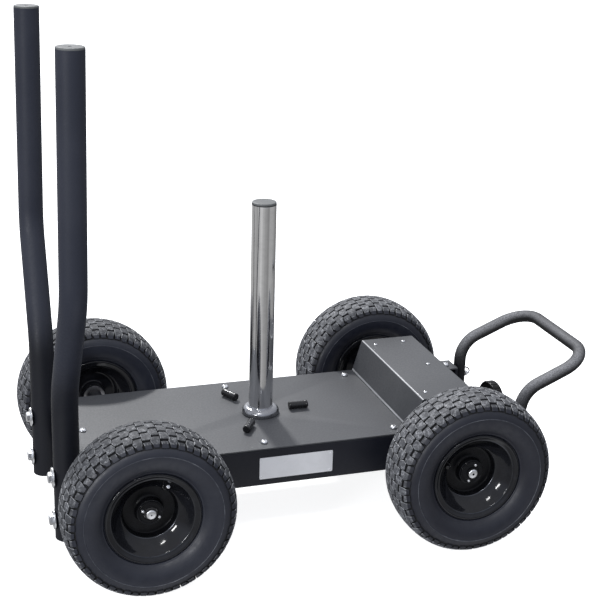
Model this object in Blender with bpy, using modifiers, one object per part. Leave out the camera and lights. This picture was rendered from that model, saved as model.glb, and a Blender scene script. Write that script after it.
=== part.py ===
"""Weight sled on four pneumatic turf wheels.

A steel deck on two side rails carries a chrome post for weight plates. Two
cranked push poles are bolted to the rear end plate and a U-shaped tow handle
is pinned to the front end plate. A raised cover over the front axle houses a
brake drum and a shoe that is pressed on by a hand knob in front.

Metres, +Z up, +X towards the tow handle, -Y is the near side. The floor is
z = 0 and the origin is below the middle of the whole sled.
"""
import math

import bmesh
import bpy
from mathutils import Matrix, Vector

# ---------------------------------------------------------------- dimensions
GAP = 0.0003                 # clearance left between touching pieces

SHIFT_X = -0.09276           # from the middle of the wheelbase to the origin

WHEEL_R = 0.165              # 13 x 5.00-6 turf tyre
AXLE_X = 0.3247              # half the wheelbase
WHEEL_Y = 0.288              # tyre centre plane
TYRE_STEPS = 32
RIM_STEPS = 20

DECK_TOP = 0.2042
SHEET = 0.003
DECK_X0 = -0.427
DECK_X1 = 0.2468
DECK_HALF = 0.1758
RAIL_OUT = 0.1750            # outer face of the side rails
RAIL_WEB = 0.003
RAIL_LOW = 0.1234
RAIL_TOP = DECK_TOP - SHEET - GAP
FLANGE_IN = 0.1304           # inner edge of the rail flanges
END_T = 0.006                # end plate thickness
FRONT_X = 0.488              # front face of the front end plate
NOTCH_X = 0.462              # the front strip is cut back to here
NOTCH_HALF = 0.125           # between the two handle sockets
FRONT_LOW = 0.180            # top edge of the end plate inside the notch

COVER_TOP = 0.2738
COVER_X = (0.2473, 0.2690, 0.3924, 0.4132)

POST_X = -0.0216
POST_R = 0.025
POST_TOP = 0.661

POLE_R = 0.0254
POLE_X = DECK_X0 - GAP - POLE_R
POLE_TOP_X = -0.4430
POLE_Y = (0.1481, 0.2629)    # lower and upper half spacing
POLE_Z = (0.0527, 0.3507, 0.5699, 1.0150)
POLE_BOLT_Z = (0.093, 0.182)

HANDLE_R = 0.01345
HANDLE_X = (0.5048, 0.6619)
HANDLE_Y = (0.1528, 0.1508)
HANDLE_Z = (0.1270, 0.2544, 0.3212)
PIN_Z = 0.178
LOOP_TILT = 0.96             # radians that the wire loop hangs over

AXLE_R = 0.010
AXLE_END = WHEEL_Y + 0.016
BORE_R = AXLE_R + GAP
DRUM_R = 0.080
BRAKE_Z = 0.168              # height of the brake screw
BRAKE_TRAVEL = 0.006
KNOB_R = 0.0485
KNOB_X = (0.504, 0.526)

SCREW_PLACES = ((-0.396, 0.0), (-0.058, 0.148), (-0.058, -0.148),
                (0.2198, 0.148), (0.2198, -0.148), (0.468, 0.148), (0.468, -0.148))
REST_PLACES = ((0.0609, -0.0010), (-0.0638, 0.0879), (-0.0695, -0.0785))

# ---------------------------------------------------------------- scene setup
for old in list(bpy.data.objects):
    bpy.data.objects.remove(old, do_unlink=True)


def new_collection(name):
    coll = bpy.data.collections.new(name)
    bpy.context.scene.collection.children.link(coll)
    return coll


PARTS = new_collection("weight_sled")
CUTTERS = new_collection("cutters")


def finish(name, colour, roughness, metallic):
    mat = bpy.data.materials.new(name)
    mat.use_nodes = True
    shader = mat.node_tree.nodes["Principled BSDF"]
    shader.inputs["Base Color"].default_value = (*colour, 1.0)
    shader.inputs["Roughness"].default_value = roughness
    shader.inputs["Metallic"].default_value = metallic
    return mat


DECK_PAINT = finish("deck_paint", (0.16, 0.165, 0.175), 0.45, 0.0)
FRAME_PAINT = finish("frame_paint", (0.02, 0.022, 0.03), 0.45, 0.0)
POLE_PAINT = finish("pole_paint", (0.035, 0.038, 0.045), 0.5, 0.0)
HANDLE_PAINT = finish("handle_paint", (0.09, 0.092, 0.095), 0.5, 0.0)
RIM_PAINT = finish("rim_paint", (0.008, 0.008, 0.010), 0.15, 0.0)
TYRE_RUBBER = finish("tyre_rubber", (0.03, 0.031, 0.035), 0.8, 0.0)
SOFT_RUBBER = finish("rest_rubber", (0.01, 0.01, 0.01), 0.6, 0.0)
CHROME = finish("chrome", (0.75, 0.75, 0.76), 0.08, 1.0)
ZINC = finish("zinc", (0.75, 0.76, 0.78), 0.3, 1.0)
STEEL = finish("turned_steel", (0.45, 0.45, 0.46), 0.35, 1.0)
IRON = finish("cast_iron", (0.06, 0.06, 0.065), 0.6, 0.6)
PLATE = finish("brushed_plate", (0.72, 0.73, 0.74), 0.35, 1.0)
CAP_GREY = finish("cap_grey", (0.35, 0.36, 0.37), 0.5, 0.0)
KNOB_BLACK = finish("knob_black", (0.008, 0.008, 0.008), 0.4, 0.0)


def empty(name, location, rotation=(0.0, 0.0, 0.0), parent=None):
    ob = bpy.data.objects.new(name, None)
    ob.empty_display_size = 0.05
    ob.location = location
    ob.rotation_euler = rotation
    ob.parent = parent
    PARTS.objects.link(ob)
    return ob


ROOT = empty("sled_root", (SHIFT_X, 0.0, 0.0))


def place(ob, mat, parent, location, rotation, cutter):
    ob.parent = parent
    ob.location = location
    ob.rotation_euler = rotation
    if cutter:
        CUTTERS.objects.link(ob)
        ob.hide_render = True
        ob.display_type = 'WIRE'
    else:
        PARTS.objects.link(ob)
        ob.data.materials.append(mat)
    return ob


def turned(name, profile, steps, mat=None, parent=ROOT, location=(0, 0, 0),
           rotation=(0, 0, 0), ring=False, cutter=False):
    """Turn (radius, height) points about local Z. A ring's profile is a loop."""
    bm = bmesh.new()
    verts = [bm.verts.new((r, 0.0, h)) for r, h in profile]
    for a, b in zip(verts, verts[1:]):
        bm.edges.new((a, b))
    if ring:
        bm.edges.new((verts[-1], verts[0]))
    me = bpy.data.meshes.new(name)
    bm.to_mesh(me)
    bm.free()
    ob = bpy.data.objects.new(name, me)
    mod = ob.modifiers.new("turn", 'SCREW')
    mod.axis = 'Z'
    mod.angle = 2.0 * math.pi
    mod.steps = steps
    mod.render_steps = steps
    mod.use_merge_vertices = True
    mod.merge_threshold = 0.00001
    mod.use_smooth_shade = True
    return place(ob, mat, parent, location, rotation, cutter)


def rod(name, radius, length, steps, **kw):
    """Solid cylinder from local z = 0 to z = length."""
    return turned(name, [(0.0, length), (radius, length), (radius, 0.0), (0.0, 0.0)],
                  steps, **kw)


def block(name, low, high, mat=None, parent=ROOT, bevel=0.0, cutter=False):
    """Box between two corners."""
    size = [b - a for a, b in zip(low, high)]
    mid = [(a + b) / 2.0 for a, b in zip(low, high)]
    bm = bmesh.new()
    bmesh.ops.create_cube(bm, size=1.0)
    bmesh.ops.scale(bm, vec=Vector(size), verts=bm.verts)
    me = bpy.data.meshes.new(name)
    bm.to_mesh(me)
    bm.free()
    ob = bpy.data.objects.new(name, me)
    if bevel:
        mod = ob.modifiers.new("edges", 'BEVEL')
        mod.width = bevel
        mod.segments = 1
        mod.limit_method = 'ANGLE'
    return place(ob, mat, parent, mid, (0, 0, 0), cutter)


def circle(cx, cy, radius, count=16):
    return [(cx + radius * math.cos(2 * math.pi * k / count),
             cy + radius * math.sin(2 * math.pi * k / count)) for k in range(count)]


def rectangle(x0, y0, x1, y1):
    return [(x0, y0), (x1, y0), (x1, y1), (x0, y1)]


def meshed(curve_ob, name):
    """Mesh made from a curve object, with its caps welded."""
    bpy.context.view_layer.update()
    graph = bpy.context.evaluated_depsgraph_get()
    me = bpy.data.meshes.new_from_object(curve_ob.evaluated_get(graph))
    me.name = name
    me.materials.clear()
    bm = bmesh.new()
    bm.from_mesh(me)
    bmesh.ops.remove_doubles(bm, verts=bm.verts, dist=0.00001)
    bm.to_mesh(me)
    bm.free()
    bpy.data.objects.remove(curve_ob, do_unlink=True)
    return me


TURN = {"XY": (0.0, 0.0, 0.0),
        "XZ": (math.pi / 2, 0.0, 0.0),
        "YZ": Matrix(((0, 0, 1), (1, 0, 0), (0, 1, 0))).to_euler()}


def plate(name, loops, thickness, plane, level, mat=None, parent=ROOT, cutter=False):
    """Flat piece: outline and holes in a plane, centred on level along its normal."""
    cu = bpy.data.curves.new(name, 'CURVE')
    cu.dimensions = '2D'
    cu.fill_mode = 'BOTH'
    cu.extrude = thickness / 2.0
    for loop in loops:
        sp = cu.splines.new('POLY')
        sp.points.add(len(loop) - 1)
        for point, (a, b) in zip(sp.points, loop):
            point.co = (a, b, 0.0, 1.0)
        sp.use_cyclic_u = True
    temp = bpy.data.objects.new(name + "_outline", cu)
    bpy.context.scene.collection.objects.link(temp)
    ob = bpy.data.objects.new(name, meshed(temp, name))
    spot = {"XY": (0, 0, level), "XZ": (0, level, 0), "YZ": (level, 0, 0)}[plane]
    return place(ob, mat, parent, spot, TURN[plane], cutter)


def rounded(points, radii, count):
    """Points of a polyline in space with each inner corner turned into an arc."""
    points = [Vector(p) for p in points]
    out = [points[0]]
    for i in range(1, len(points) - 1):
        a, b, c = points[i - 1], points[i], points[i + 1]
        u, v = (a - b).normalized(), (c - b).normalized()
        half = u.angle(v) / 2.0
        reach = radii[i - 1] / math.tan(half)
        start, end = b + u * reach, b + v * reach
        centre = b + (u + v).normalized() * (radii[i - 1] / math.sin(half))
        s, e = start - centre, end - centre
        sweep = s.angle(e)
        for k in range(count + 1):
            w = k / count
            out.append(centre + (s * math.sin((1 - w) * sweep) + e * math.sin(w * sweep))
                       / math.sin(sweep))
    out.append(points[-1])
    return out


def pipe(name, points, radius, wall, sides, mat, parent=ROOT):
    """Open-ended tube along a line of points."""
    cu = bpy.data.curves.new(name, 'CURVE')
    cu.dimensions = '3D'
    cu.bevel_depth = radius
    cu.bevel_resolution = (sides - 4) // 2
    cu.use_fill_caps = False
    sp = cu.splines.new('POLY')
    sp.points.add(len(points) - 1)
    for point, co in zip(sp.points, points):
        point.co = (*co, 1.0)
    temp = bpy.data.objects.new(name + "_line", cu)
    bpy.context.scene.collection.objects.link(temp)
    me = meshed(temp, name)
    me.shade_smooth()
    ob = bpy.data.objects.new(name, me)
    mod = ob.modifiers.new("wall", 'SOLIDIFY')
    mod.thickness = wall
    mod.offset = -1.0
    mod.use_rim = True
    return place(ob, mat, parent, (0, 0, 0), (0, 0, 0), False)


def cut(ob, *tools):
    for tool in tools:
        mod = ob.modifiers.new("cut", 'BOOLEAN')
        mod.operation = 'DIFFERENCE'
        mod.solver = 'EXACT'
        mod.object = tool


def join(ob, *tools):
    for tool in tools:
        mod = ob.modifiers.new("join", 'BOOLEAN')
        mod.operation = 'UNION'
        mod.solver = 'EXACT'
        mod.object = tool


NEAR, FAR = -1, 1
SIDES = (("near", NEAR), ("far", FAR))
ALONG_X = (0.0, math.pi / 2, 0.0)       # local Z points to +X


def along_y(side):
    """Rotation that points local Z outwards on that side."""
    return (-side * math.pi / 2, 0.0, 0.0)


# ---------------------------------------------------------------- deck and cover
deck_loops = [rectangle(DECK_X0, -DECK_HALF, DECK_X1, DECK_HALF),
              circle(POST_X, 0.0, POST_R + GAP, 24)]
deck_loops += [circle(x, y, 0.0043, 10) for x, y in SCREW_PLACES if x < DECK_X1]
plate("deck_plate", deck_loops, SHEET, "XY", DECK_TOP - SHEET / 2, DECK_PAINT)

# sheet section of the cover: up over the axle and down to a flat front strip
x0, x1, x2, x3 = COVER_X
outer = rounded([(x0, 0, DECK_TOP - SHEET), (x1, 0, COVER_TOP), (x2, 0, COVER_TOP),
                 (x3, 0, DECK_TOP), (FRONT_X, 0, DECK_TOP)], (0.005, 0.005, 0.002), 3)
tilt = math.atan2(x1 - x0, COVER_TOP - DECK_TOP + SHEET)
side_t = SHEET / math.cos(tilt)
top_t = SHEET * math.tan(math.pi / 4 - tilt / 2)
inner = rounded([(x0 + side_t, 0, DECK_TOP - SHEET), (x1 + top_t, 0, COVER_TOP - SHEET),
                 (x2 - top_t, 0, COVER_TOP - SHEET), (x3 - top_t, 0, DECK_TOP - SHEET),
                 (FRONT_X, 0, DECK_TOP - SHEET)], (0.002, 0.002, 0.005), 3)
section = [(p.x, p.z) for p in outer] + [(p.x, p.z) for p in reversed(inner)]
cover = plate("front_cover", [section], 2 * DECK_HALF, "XZ", 0.0, DECK_PAINT)
for label, side in SIDES:
    cut(cover, rod("cover_screw_hole_" + label, 0.0043, 0.02, 10, cutter=True,
                   location=(SCREW_PLACES[5][0], side * SCREW_PLACES[5][1], 0.195)))
cut(cover, block("strip_notch", (NOTCH_X, -NOTCH_HALF, DECK_TOP - 0.008),
                 (FRONT_X + 0.006, NOTCH_HALF, DECK_TOP + 0.005), cutter=True))

# ---------------------------------------------------------------- side rails
RAIL_X0 = DECK_X0 + END_T + GAP
RAIL_X1 = FRONT_X - END_T - GAP
CHEEK_TOP = COVER_TOP - SHEET - GAP
for label, side in SIDES:
    web = [(RAIL_X0, RAIL_LOW), (RAIL_X1, RAIL_LOW), (RAIL_X1, RAIL_TOP),
           (0.4104, RAIL_TOP), (0.3896, CHEEK_TOP), (0.2721, CHEEK_TOP),
           (0.2513, RAIL_TOP), (RAIL_X0, RAIL_TOP)]
    rail = plate("side_rail_" + label, [web, circle(AXLE_X, WHEEL_R, 0.0155, 20)], RAIL_WEB,
                 "XZ", side * (RAIL_OUT - RAIL_WEB / 2), FRAME_PAINT)
    lo, hi = sorted((side * FLANGE_IN, side * (RAIL_OUT - RAIL_WEB + 0.0005)))
    join(rail,
         block("rail_foot_" + label, (RAIL_X0, lo, RAIL_LOW),
               (RAIL_X1, hi, RAIL_LOW + RAIL_WEB), cutter=True),
         block("rail_head_" + label, (RAIL_X0, lo, RAIL_TOP - RAIL_WEB),
               (RAIL_X1, hi, RAIL_TOP), cutter=True),
         turned("axle_boss_" + label,
                [(0.0, 0.0889), (0.0145, 0.0889), (0.016, 0.0874), (0.016, 0.0065),
                 (0.030, 0.0060), (0.030, 0.0), (0.0, 0.0)], 24, cutter=True,
                location=(-AXLE_X, side * (RAIL_OUT - 0.0004), WHEEL_R), rotation=along_y(side)))
    cut(rail, rod("axle_bore_" + label, BORE_R, 0.12, 24, cutter=True,
                  location=(-AXLE_X, side * 0.16, WHEEL_R), rotation=along_y(side)))
    for k, (sx, sy) in enumerate(SCREW_PLACES):
        if sy * side > 0:
            cut(rail, rod("rail_hole_%s_%d" % (label, k), 0.0043, 0.012, 10, cutter=True,
                          location=(sx, sy, 0.193)))

# ---------------------------------------------------------------- end plates
tab = 0.118
rear_outline = [(-RAIL_OUT, 0.070), (-tab, 0.070), (-tab, RAIL_LOW - 0.012),
                (-tab + 0.012, RAIL_LOW), (tab - 0.012, RAIL_LOW), (tab, RAIL_LOW - 0.012),
                (tab, 0.070), (RAIL_OUT, 0.070), (RAIL_OUT, RAIL_TOP), (-RAIL_OUT, RAIL_TOP)]
rear = plate("end_plate_rear", [rear_outline], END_T, "YZ", DECK_X0 + END_T / 2, FRAME_PAINT)
join(rear, block("rear_lip", (DECK_X0 + END_T - 0.0005, -0.128, RAIL_TOP - SHEET),
                 (-0.379, 0.128, RAIL_TOP), cutter=True))
cut(rear, rod("rear_lip_hole", 0.0043, 0.012, 10, cutter=True,
              location=(SCREW_PLACES[0][0], 0.0, 0.193)))
for label, side in SIDES:
    for k, bz in enumerate(POLE_BOLT_Z):
        join(rear, rod("weld_nut_%s_%d" % (label, k), 0.011, 0.0105, 6, cutter=True,
                       location=(DECK_X0 + END_T - 0.0005, side * POLE_Y[0], bz),
                       rotation=ALONG_X))
        cut(rear, rod("pole_hole_%s_%d" % (label, k), 0.0064, 0.03, 16, cutter=True,
                      location=(DECK_X0 - 0.005, side * POLE_Y[0], bz), rotation=ALONG_X))

front = plate("end_plate_front",
              [[(-RAIL_OUT, RAIL_LOW), (RAIL_OUT, RAIL_LOW), (RAIL_OUT, RAIL_TOP), (NOTCH_HALF, RAIL_TOP),
                (NOTCH_HALF, FRONT_LOW), (0.060, FRONT_LOW), (0.048, BRAKE_Z + 0.023),
                (-0.048, BRAKE_Z + 0.023), (-0.060, FRONT_LOW), (-NOTCH_HALF, FRONT_LOW),
                (-NOTCH_HALF, RAIL_TOP), (-RAIL_OUT, RAIL_TOP)],
               circle(-HANDLE_Y[0], PIN_Z, 0.0043, 12), circle(HANDLE_Y[0], PIN_Z, 0.0043, 12)],
              END_T, "YZ", FRONT_X - END_T / 2, FRAME_PAINT)
for label, side in SIDES:
    lo, hi = sorted((side * 0.0363, side * 0.0403))
    join(front, block("shoe_guide_" + label, (0.415, lo, BRAKE_Z - 0.023),
                      (FRONT_X - END_T + 0.0005, hi, BRAKE_Z + 0.023), cutter=True))
join(front, rod("screw_nut", 0.016, 0.0125, 16, cutter=True,
                location=(0.470, 0.0, BRAKE_Z), rotation=ALONG_X))
cut(front, rod("screw_bore", 0.0083, 0.04, 16, cutter=True,
               location=(0.460, 0.0, BRAKE_Z), rotation=ALONG_X))

# ---------------------------------------------------------------- weight post
cross = plate("post_crossmember",
              [rectangle(POST_X - 0.030, 0.1576, POST_X + 0.030, 0.1976),
               rectangle(POST_X - 0.027, 0.1606, POST_X + 0.027, 0.1946)],
              2 * (RAIL_OUT - RAIL_WEB - 0.0005), "XZ", 0.0, FRAME_PAINT)
cut(cross, rod("post_seat", POST_R + GAP, 0.03, 24, cutter=True,
               location=(POST_X, 0.0, 0.178)))

foot = 0.1609
turned("weight_post", [(POST_R, POST_TOP - 0.0045), (POST_R, foot), (POST_R - 0.003, foot),
                       (POST_R - 0.003, POST_TOP - 0.0045)], 24, CHROME,
       location=(POST_X, 0, 0), ring=True)
turned("post_cap", [(0.0, POST_TOP), (0.0232, POST_TOP), (0.0247, POST_TOP - 0.0012),
                    (0.0247, POST_TOP - 0.0042), (POST_R - 0.0033, POST_TOP - 0.0042),
                    (POST_R - 0.0036, POST_TOP - 0.022), (0.0, POST_TOP - 0.022)],
       24, CAP_GREY, location=(POST_X, 0, 0))
low = DECK_TOP + GAP
turned("post_collar", [(POST_R + GAP, low + 0.0160), (0.0290, low + 0.0160),
                       (0.0345, low + 0.0140), (0.0380, low + 0.0095), (0.0390, low + 0.0040),
                       (0.0385, low), (POST_R + GAP, low)],
       28, CHROME, location=(POST_X, 0, 0), ring=True)

# rubber rests lie radially round the post and keep the plates off the collar
REST_R, REST_L = 0.008, 0.042
for k, (rx, ry) in enumerate(REST_PLACES):
    heading = math.atan2(ry, rx - POST_X)
    h = REST_L / 2
    turned("plate_rest_%d" % (k + 1),
           [(0.0, h), (REST_R - 0.001, h), (REST_R, h - 0.001), (REST_R, -h + 0.001),
            (REST_R - 0.001, -h), (0.0, -h)], 16, SOFT_RUBBER,
           location=(rx, ry, DECK_TOP + GAP + REST_R), rotation=(0.0, math.pi / 2, heading))

# ---------------------------------------------------------------- deck screws
for k, (sx, sy) in enumerate(SCREW_PLACES):
    turned("deck_screw_%d" % (k + 1),
           [(0.0, 0.0022), (0.0027, 0.0022), (0.0027, 0.0047), (0.0052, 0.0036), (0.0070, 0.0010),
            (0.0070, GAP), (0.0040, GAP), (0.0040, -0.0160), (0.0, -0.0160)],
           10, ZINC, location=(sx, sy, DECK_TOP))

# ---------------------------------------------------------------- push poles
for label, side in SIDES:
    line = rounded([(POLE_X, side * POLE_Y[0], POLE_Z[0]), (POLE_X, side * POLE_Y[0], POLE_Z[1]),
                    (POLE_X + 0.0035, side * POLE_Y[1], POLE_Z[2]),
                    (POLE_TOP_X, side * POLE_Y[1], POLE_Z[3])], (0.15, 0.15), 4)
    pole = pipe("push_pole_" + label, line, POLE_R, 0.003, 16, POLE_PAINT)
    for k, bz in enumerate(POLE_BOLT_Z):
        cut(pole, rod("pole_bore_%s_%d" % (label, k), 0.0064, 0.08, 12, cutter=True,
                      location=(POLE_X - 0.04, side * POLE_Y[0], bz), rotation=ALONG_X))
        washer = POLE_X - POLE_R - GAP
        bolt = rod("pole_bolt_%s_%s" % (label, ("lower", "upper")[k]), 0.0198, 0.003, 20,
                   mat=ZINC, location=(washer - 0.003, side * POLE_Y[0], bz), rotation=ALONG_X)
        tag = "%s_%d" % (label, k)
        join(bolt,
             rod("bolt_head_" + tag, 0.01097, 0.0085, 6, cutter=True,
                 location=(washer - 0.0110, side * POLE_Y[0], bz), rotation=ALONG_X),
             rod("bolt_shank_" + tag, 0.0060, 0.0680, 12, cutter=True,
                 location=(washer - 0.0010, side * POLE_Y[0], bz), rotation=ALONG_X))
    lean = math.atan2(POLE_TOP_X - POLE_X - 0.0035, POLE_Z[3] - POLE_Z[2])
    turned("pole_cap_" + label,
           [(0.0, 0.0025), (0.0030, 0.0025), (0.0030, 0.0042), (0.0236, 0.0042), (0.0252, 0.0030),
            (0.0252, GAP), (POLE_R - 0.0034, GAP), (POLE_R - 0.0038, -0.020), (0.0, -0.020)],
           16, CAP_GREY, location=(POLE_TOP_X, side * POLE_Y[1], POLE_Z[3]),
           rotation=(0.0, lean, 0.0))

# ---------------------------------------------------------------- name plate
block("name_plate", (-0.0755, -RAIL_OUT - GAP - 0.0015, 0.1383),
      (0.0783, -RAIL_OUT - GAP, 0.1845), PLATE)

# ---------------------------------------------------------------- tow handle
hx, hy, hz = HANDLE_X, HANDLE_Y, HANDLE_Z
line = rounded([(hx[0], -hy[0], hz[0]), (hx[0], -hy[0], hz[1]), (hx[1], -hy[1], hz[2]),
                (hx[1], hy[1], hz[2]), (hx[0], hy[0], hz[1]), (hx[0], hy[0], hz[0])],
               (0.0621, 0.065, 0.065, 0.0621), 4)
handle = pipe("tow_handle", line, HANDLE_R, 0.0025, 12, HANDLE_PAINT)
for label, side in SIDES:
    cut(handle, rod("handle_bore_" + label, 0.0043, 0.05, 12, cutter=True,
                    location=(hx[0] - 0.025, side * hy[0], PIN_Z), rotation=ALONG_X))
    # cup that the foot of the handle stands in
    turned("handle_socket_" + label,
           [(0.0, hz[0] - GAP), (HANDLE_R + GAP, hz[0] - GAP), (HANDLE_R + GAP, 0.1555),
            (0.0162, 0.1555), (0.0162, 0.1238), (0.0, 0.1238)],
           16, FRAME_PAINT, location=(hx[0], side * hy[0], 0.0))
    # pull pin through the handle and the end plate, with a wire loop
    axis = empty("pull_pin_axis_" + label, (hx[0], side * hy[0], PIN_Z), parent=ROOT)
    pin = turned("pull_pin_" + label,
                 [(0.0, 0.0255), (0.0025, 0.0250), (0.0028, 0.0195), (0.0060, 0.0190),
                  (0.0060, 0.0142), (0.0040, 0.0138), (0.0040, -0.0335), (0.0025, -0.0350),
                  (0.0, -0.0350)], 12, ZINC, parent=axis, rotation=ALONG_X)
    bm = bmesh.new()
    ring_r, wire = 0.0075, 0.0012
    bmesh.ops.create_circle(bm, cap_ends=True, segments=6, radius=wire,
                            matrix=Matrix.Translation((ring_r, 0, 0)) @ Matrix.Rotation(math.pi / 2, 4, 'X'))
    bmesh.ops.delete(bm, geom=bm.faces[:], context='FACES_ONLY')
    me = bpy.data.meshes.new("pin_loop_" + label)
    bm.to_mesh(me)
    bm.free()
    loop = bpy.data.objects.new("pin_loop_" + label, me)
    mod = loop.modifiers.new("turn", 'SCREW')
    mod.axis = 'Z'
    mod.angle = 2.0 * math.pi
    mod.steps = 14
    mod.render_steps = 14
    mod.use_merge_vertices = True
    mod.merge_threshold = 0.00001
    # the loop hangs over to the outer side
    place(loop, None, axis, (0.0207, side * 0.0080 * math.sin(LOOP_TILT), 0.0080 * math.cos(LOOP_TILT)),
          (math.pi / 2 - side * LOOP_TILT, 0.0, 0.0), True)
    join(pin, loop)

# ---------------------------------------------------------------- axles
WELL = 0.028                    # depth of the threaded hole in each axle end


def axle_profile():
    e, r, b = AXLE_END, AXLE_R, 0.0063
    return [(0.0, e - WELL), (b, e - WELL), (b, e), (r - 0.0007, e), (r, e - 0.0007),
            (r, -e + 0.0007), (r - 0.0007, -e), (b, -e), (b, -e + WELL), (0.0, -e + WELL)]


turned("axle_rear", axle_profile(), 18, STEEL, location=(-AXLE_X, 0, WHEEL_R),
       rotation=along_y(FAR))
front_axis = empty("front_axle_axis", (AXLE_X, 0.0, WHEEL_R), parent=ROOT)
turned("axle_front", axle_profile(), 18, STEEL, parent=front_axis, rotation=along_y(FAR))
turned("brake_drum",
       [(DRUM_R, 0.028), (DRUM_R, -0.028), (DRUM_R - 0.006, -0.028), (DRUM_R - 0.006, -0.003),
        (0.018, -0.003), (0.018, -0.020), (BORE_R, -0.020), (BORE_R, 0.020), (0.018, 0.020),
        (0.018, 0.003), (DRUM_R - 0.006, 0.003), (DRUM_R - 0.006, 0.028)],
       28, IRON, parent=front_axis, rotation=along_y(FAR), ring=True)

for label, side in SIDES:
    base = RAIL_OUT + GAP
    tip = WHEEL_Y - 0.0245
    housing = turned("front_bearing_" + label,
                     [(BORE_R, tip - base), (0.0145, tip - base), (0.016, tip - base - 0.0015),
                      (0.016, 0.0065), (0.030, 0.0060), (0.030, 0.0), (BORE_R, 0.0)],
                     24, IRON, location=(AXLE_X, side * base, WHEEL_R),
                     rotation=along_y(side), ring=True)
    for k in (-1, 1):
        join(housing, rod("housing_bolt_%s_%d" % (label, k), 0.0060, 0.0055, 6, cutter=True,
                          location=(AXLE_X + k * 0.0228, side * (base + 0.0055), WHEEL_R),
                          rotation=along_y(side)))

# ---------------------------------------------------------------- brake
block_x = (0.398, 0.440)
shoe_axis = empty("brake_shoe_axis", (block_x[1], 0.0, BRAKE_Z), parent=ROOT)
shoe = block("brake_shoe", (block_x[0], -0.036, BRAKE_Z - 0.025),
             (block_x[1], 0.036, BRAKE_Z + 0.025), IRON)
cut(shoe, rod("drum_clearance", DRUM_R + GAP, 0.09, 72, cutter=True,
              location=(AXLE_X + BRAKE_TRAVEL, -0.045, WHEEL_R), rotation=along_y(FAR)),
    rod("swivel_seat", 0.0083, 0.02, 16, cutter=True,
        location=(0.428, 0.0, BRAKE_Z), rotation=ALONG_X))

knob_axis = empty("brake_knob_axis", (KNOB_X[0], 0.0, BRAKE_Z), parent=ROOT)
t = KNOB_X[1] - KNOB_X[0]
turned("brake_knob",
       [(0.0, t), (KNOB_R - 0.0035, t), (KNOB_R - 0.0010, t - 0.0010), (KNOB_R, t - 0.0035),
        (KNOB_R, 0.0020), (KNOB_R - 0.0020, 0.0), (0.0140, 0.0), (0.0140, -0.0075),
        (0.0080, -0.0075), (0.0080, -0.0745), (0.0065, -0.0755), (0.0, -0.0755)],
       32, KNOB_BLACK, parent=knob_axis, rotation=ALONG_X)

# ---------------------------------------------------------------- wheels
flat = 1.0 / math.cos(math.pi / TYRE_STEPS)     # puts a flat of the tread on the floor
TYRE_HALF = [(0.0400, 0.0773), (0.0420, 0.0795), (0.0425, 0.0915), (0.0555, 0.1060),
             (0.0600, 0.1250), (0.0560, 0.1500), (0.0420, 0.1628), (0.0300, 0.1650)]
TYRE_IN = [(0.0270, 0.0773), (0.0480, 0.1110), (0.0430, 0.1510)]
RIM_OUT = [(0.0453, 0.0908), (0.0425, 0.0890), (0.0420, 0.0762), (0.0270, 0.0755),
           (0.0175, 0.0556)]
RIM_IN = [(0.0453, 0.0893), (0.0425, 0.0738), (0.0275, 0.0728), (0.0180, 0.0530),
          (0.0015, 0.0500), (0.0015, 0.0265)]
HUB_OUT, HUB_IN = 0.0180, -0.0240


def wheel(tag, parent, rear):
    phase = (0.0, 0.0, math.pi / TYRE_STEPS)
    outer = [(r * flat, w) for w, r in TYRE_HALF]
    inner = [(r * flat, w) for w, r in TYRE_IN]
    loop = list(reversed([(r, -w) for r, w in outer]))
    profile = outer + loop + [(r, -w) for r, w in inner] + list(reversed(inner))
    turned("tyre_" + tag, profile, TYRE_STEPS, TYRE_RUBBER, parent=parent, rotation=phase,
           ring=True)
    outer = [(r, w) for w, r in RIM_OUT]
    dish = [(r, w) for w, r in RIM_IN]
    profile = (outer + list(reversed([(r, -w) for r, w in outer]))
               + [(r, -w) for r, w in dish]
               + [(0.0265, HUB_IN), (0.0235, HUB_IN), (0.0235, HUB_OUT), (0.0265, HUB_OUT)]
               + list(reversed(dish)))
    turned("rim_" + tag, profile, RIM_STEPS, RIM_PAINT, parent=parent, ring=True)
    face = HUB_OUT + GAP
    if rear:
        turned("wheel_bearing_" + tag,
               [(BORE_R, 0.0170), (0.0230, 0.0170), (0.0230, -0.0235), (BORE_R, -0.0235)],
               RIM_STEPS, STEEL, parent=parent, ring=True)
        hub = turned("hub_plate_" + tag,
                     [(0.0132, face + 0.0030), (0.0245, face + 0.0030), (0.0255, face + 0.0020),
                      (0.0255, face), (0.0132, face)],
                     RIM_STEPS, IRON, parent=parent, ring=True)
    else:
        hub = turned("drive_hub_" + tag,
                     [(0.0098, face + 0.0030), (0.0245, face + 0.0030), (0.0255, face + 0.0020),
                      (0.0255, face), (0.0230, face), (0.0230, -0.0235), (BORE_R, -0.0235),
                      (BORE_R, 0.0163), (0.0098, 0.0163)],
                     RIM_STEPS, IRON, parent=parent, ring=True)
    for k in (-1, 1):
        join(hub, rod("hub_screw_%s_%d" % (tag, k), 0.0034, 0.0030, 8, cutter=True,
                      parent=parent, location=(k * 0.0188, 0.0, face + 0.0025)))


def hub_bolt(tag, parent, rear):
    seat = [(0.0123, 0.0220), (0.0123, 0.0174), (0.0095, 0.0174)] if rear else [(0.0095, 0.0220)]
    bolt = turned("hub_bolt_" + tag,
                  [(0.0, 0.0290), (0.0050, 0.0288), (0.0085, 0.0276), (0.0100, 0.0250),
                   (0.0100, 0.0222)] + seat +
                  [(0.0095, 0.0163), (0.0060, 0.0163), (0.0060, -0.0100), (0.0050, -0.0110),
                   (0.0, -0.0110)],
                  12, ZINC, parent=parent)
    cut(bolt, rod("bolt_socket_" + tag, 0.0044, 0.006, 6, cutter=True, parent=parent,
                  location=(0.0, 0.0, 0.0245)))


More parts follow.
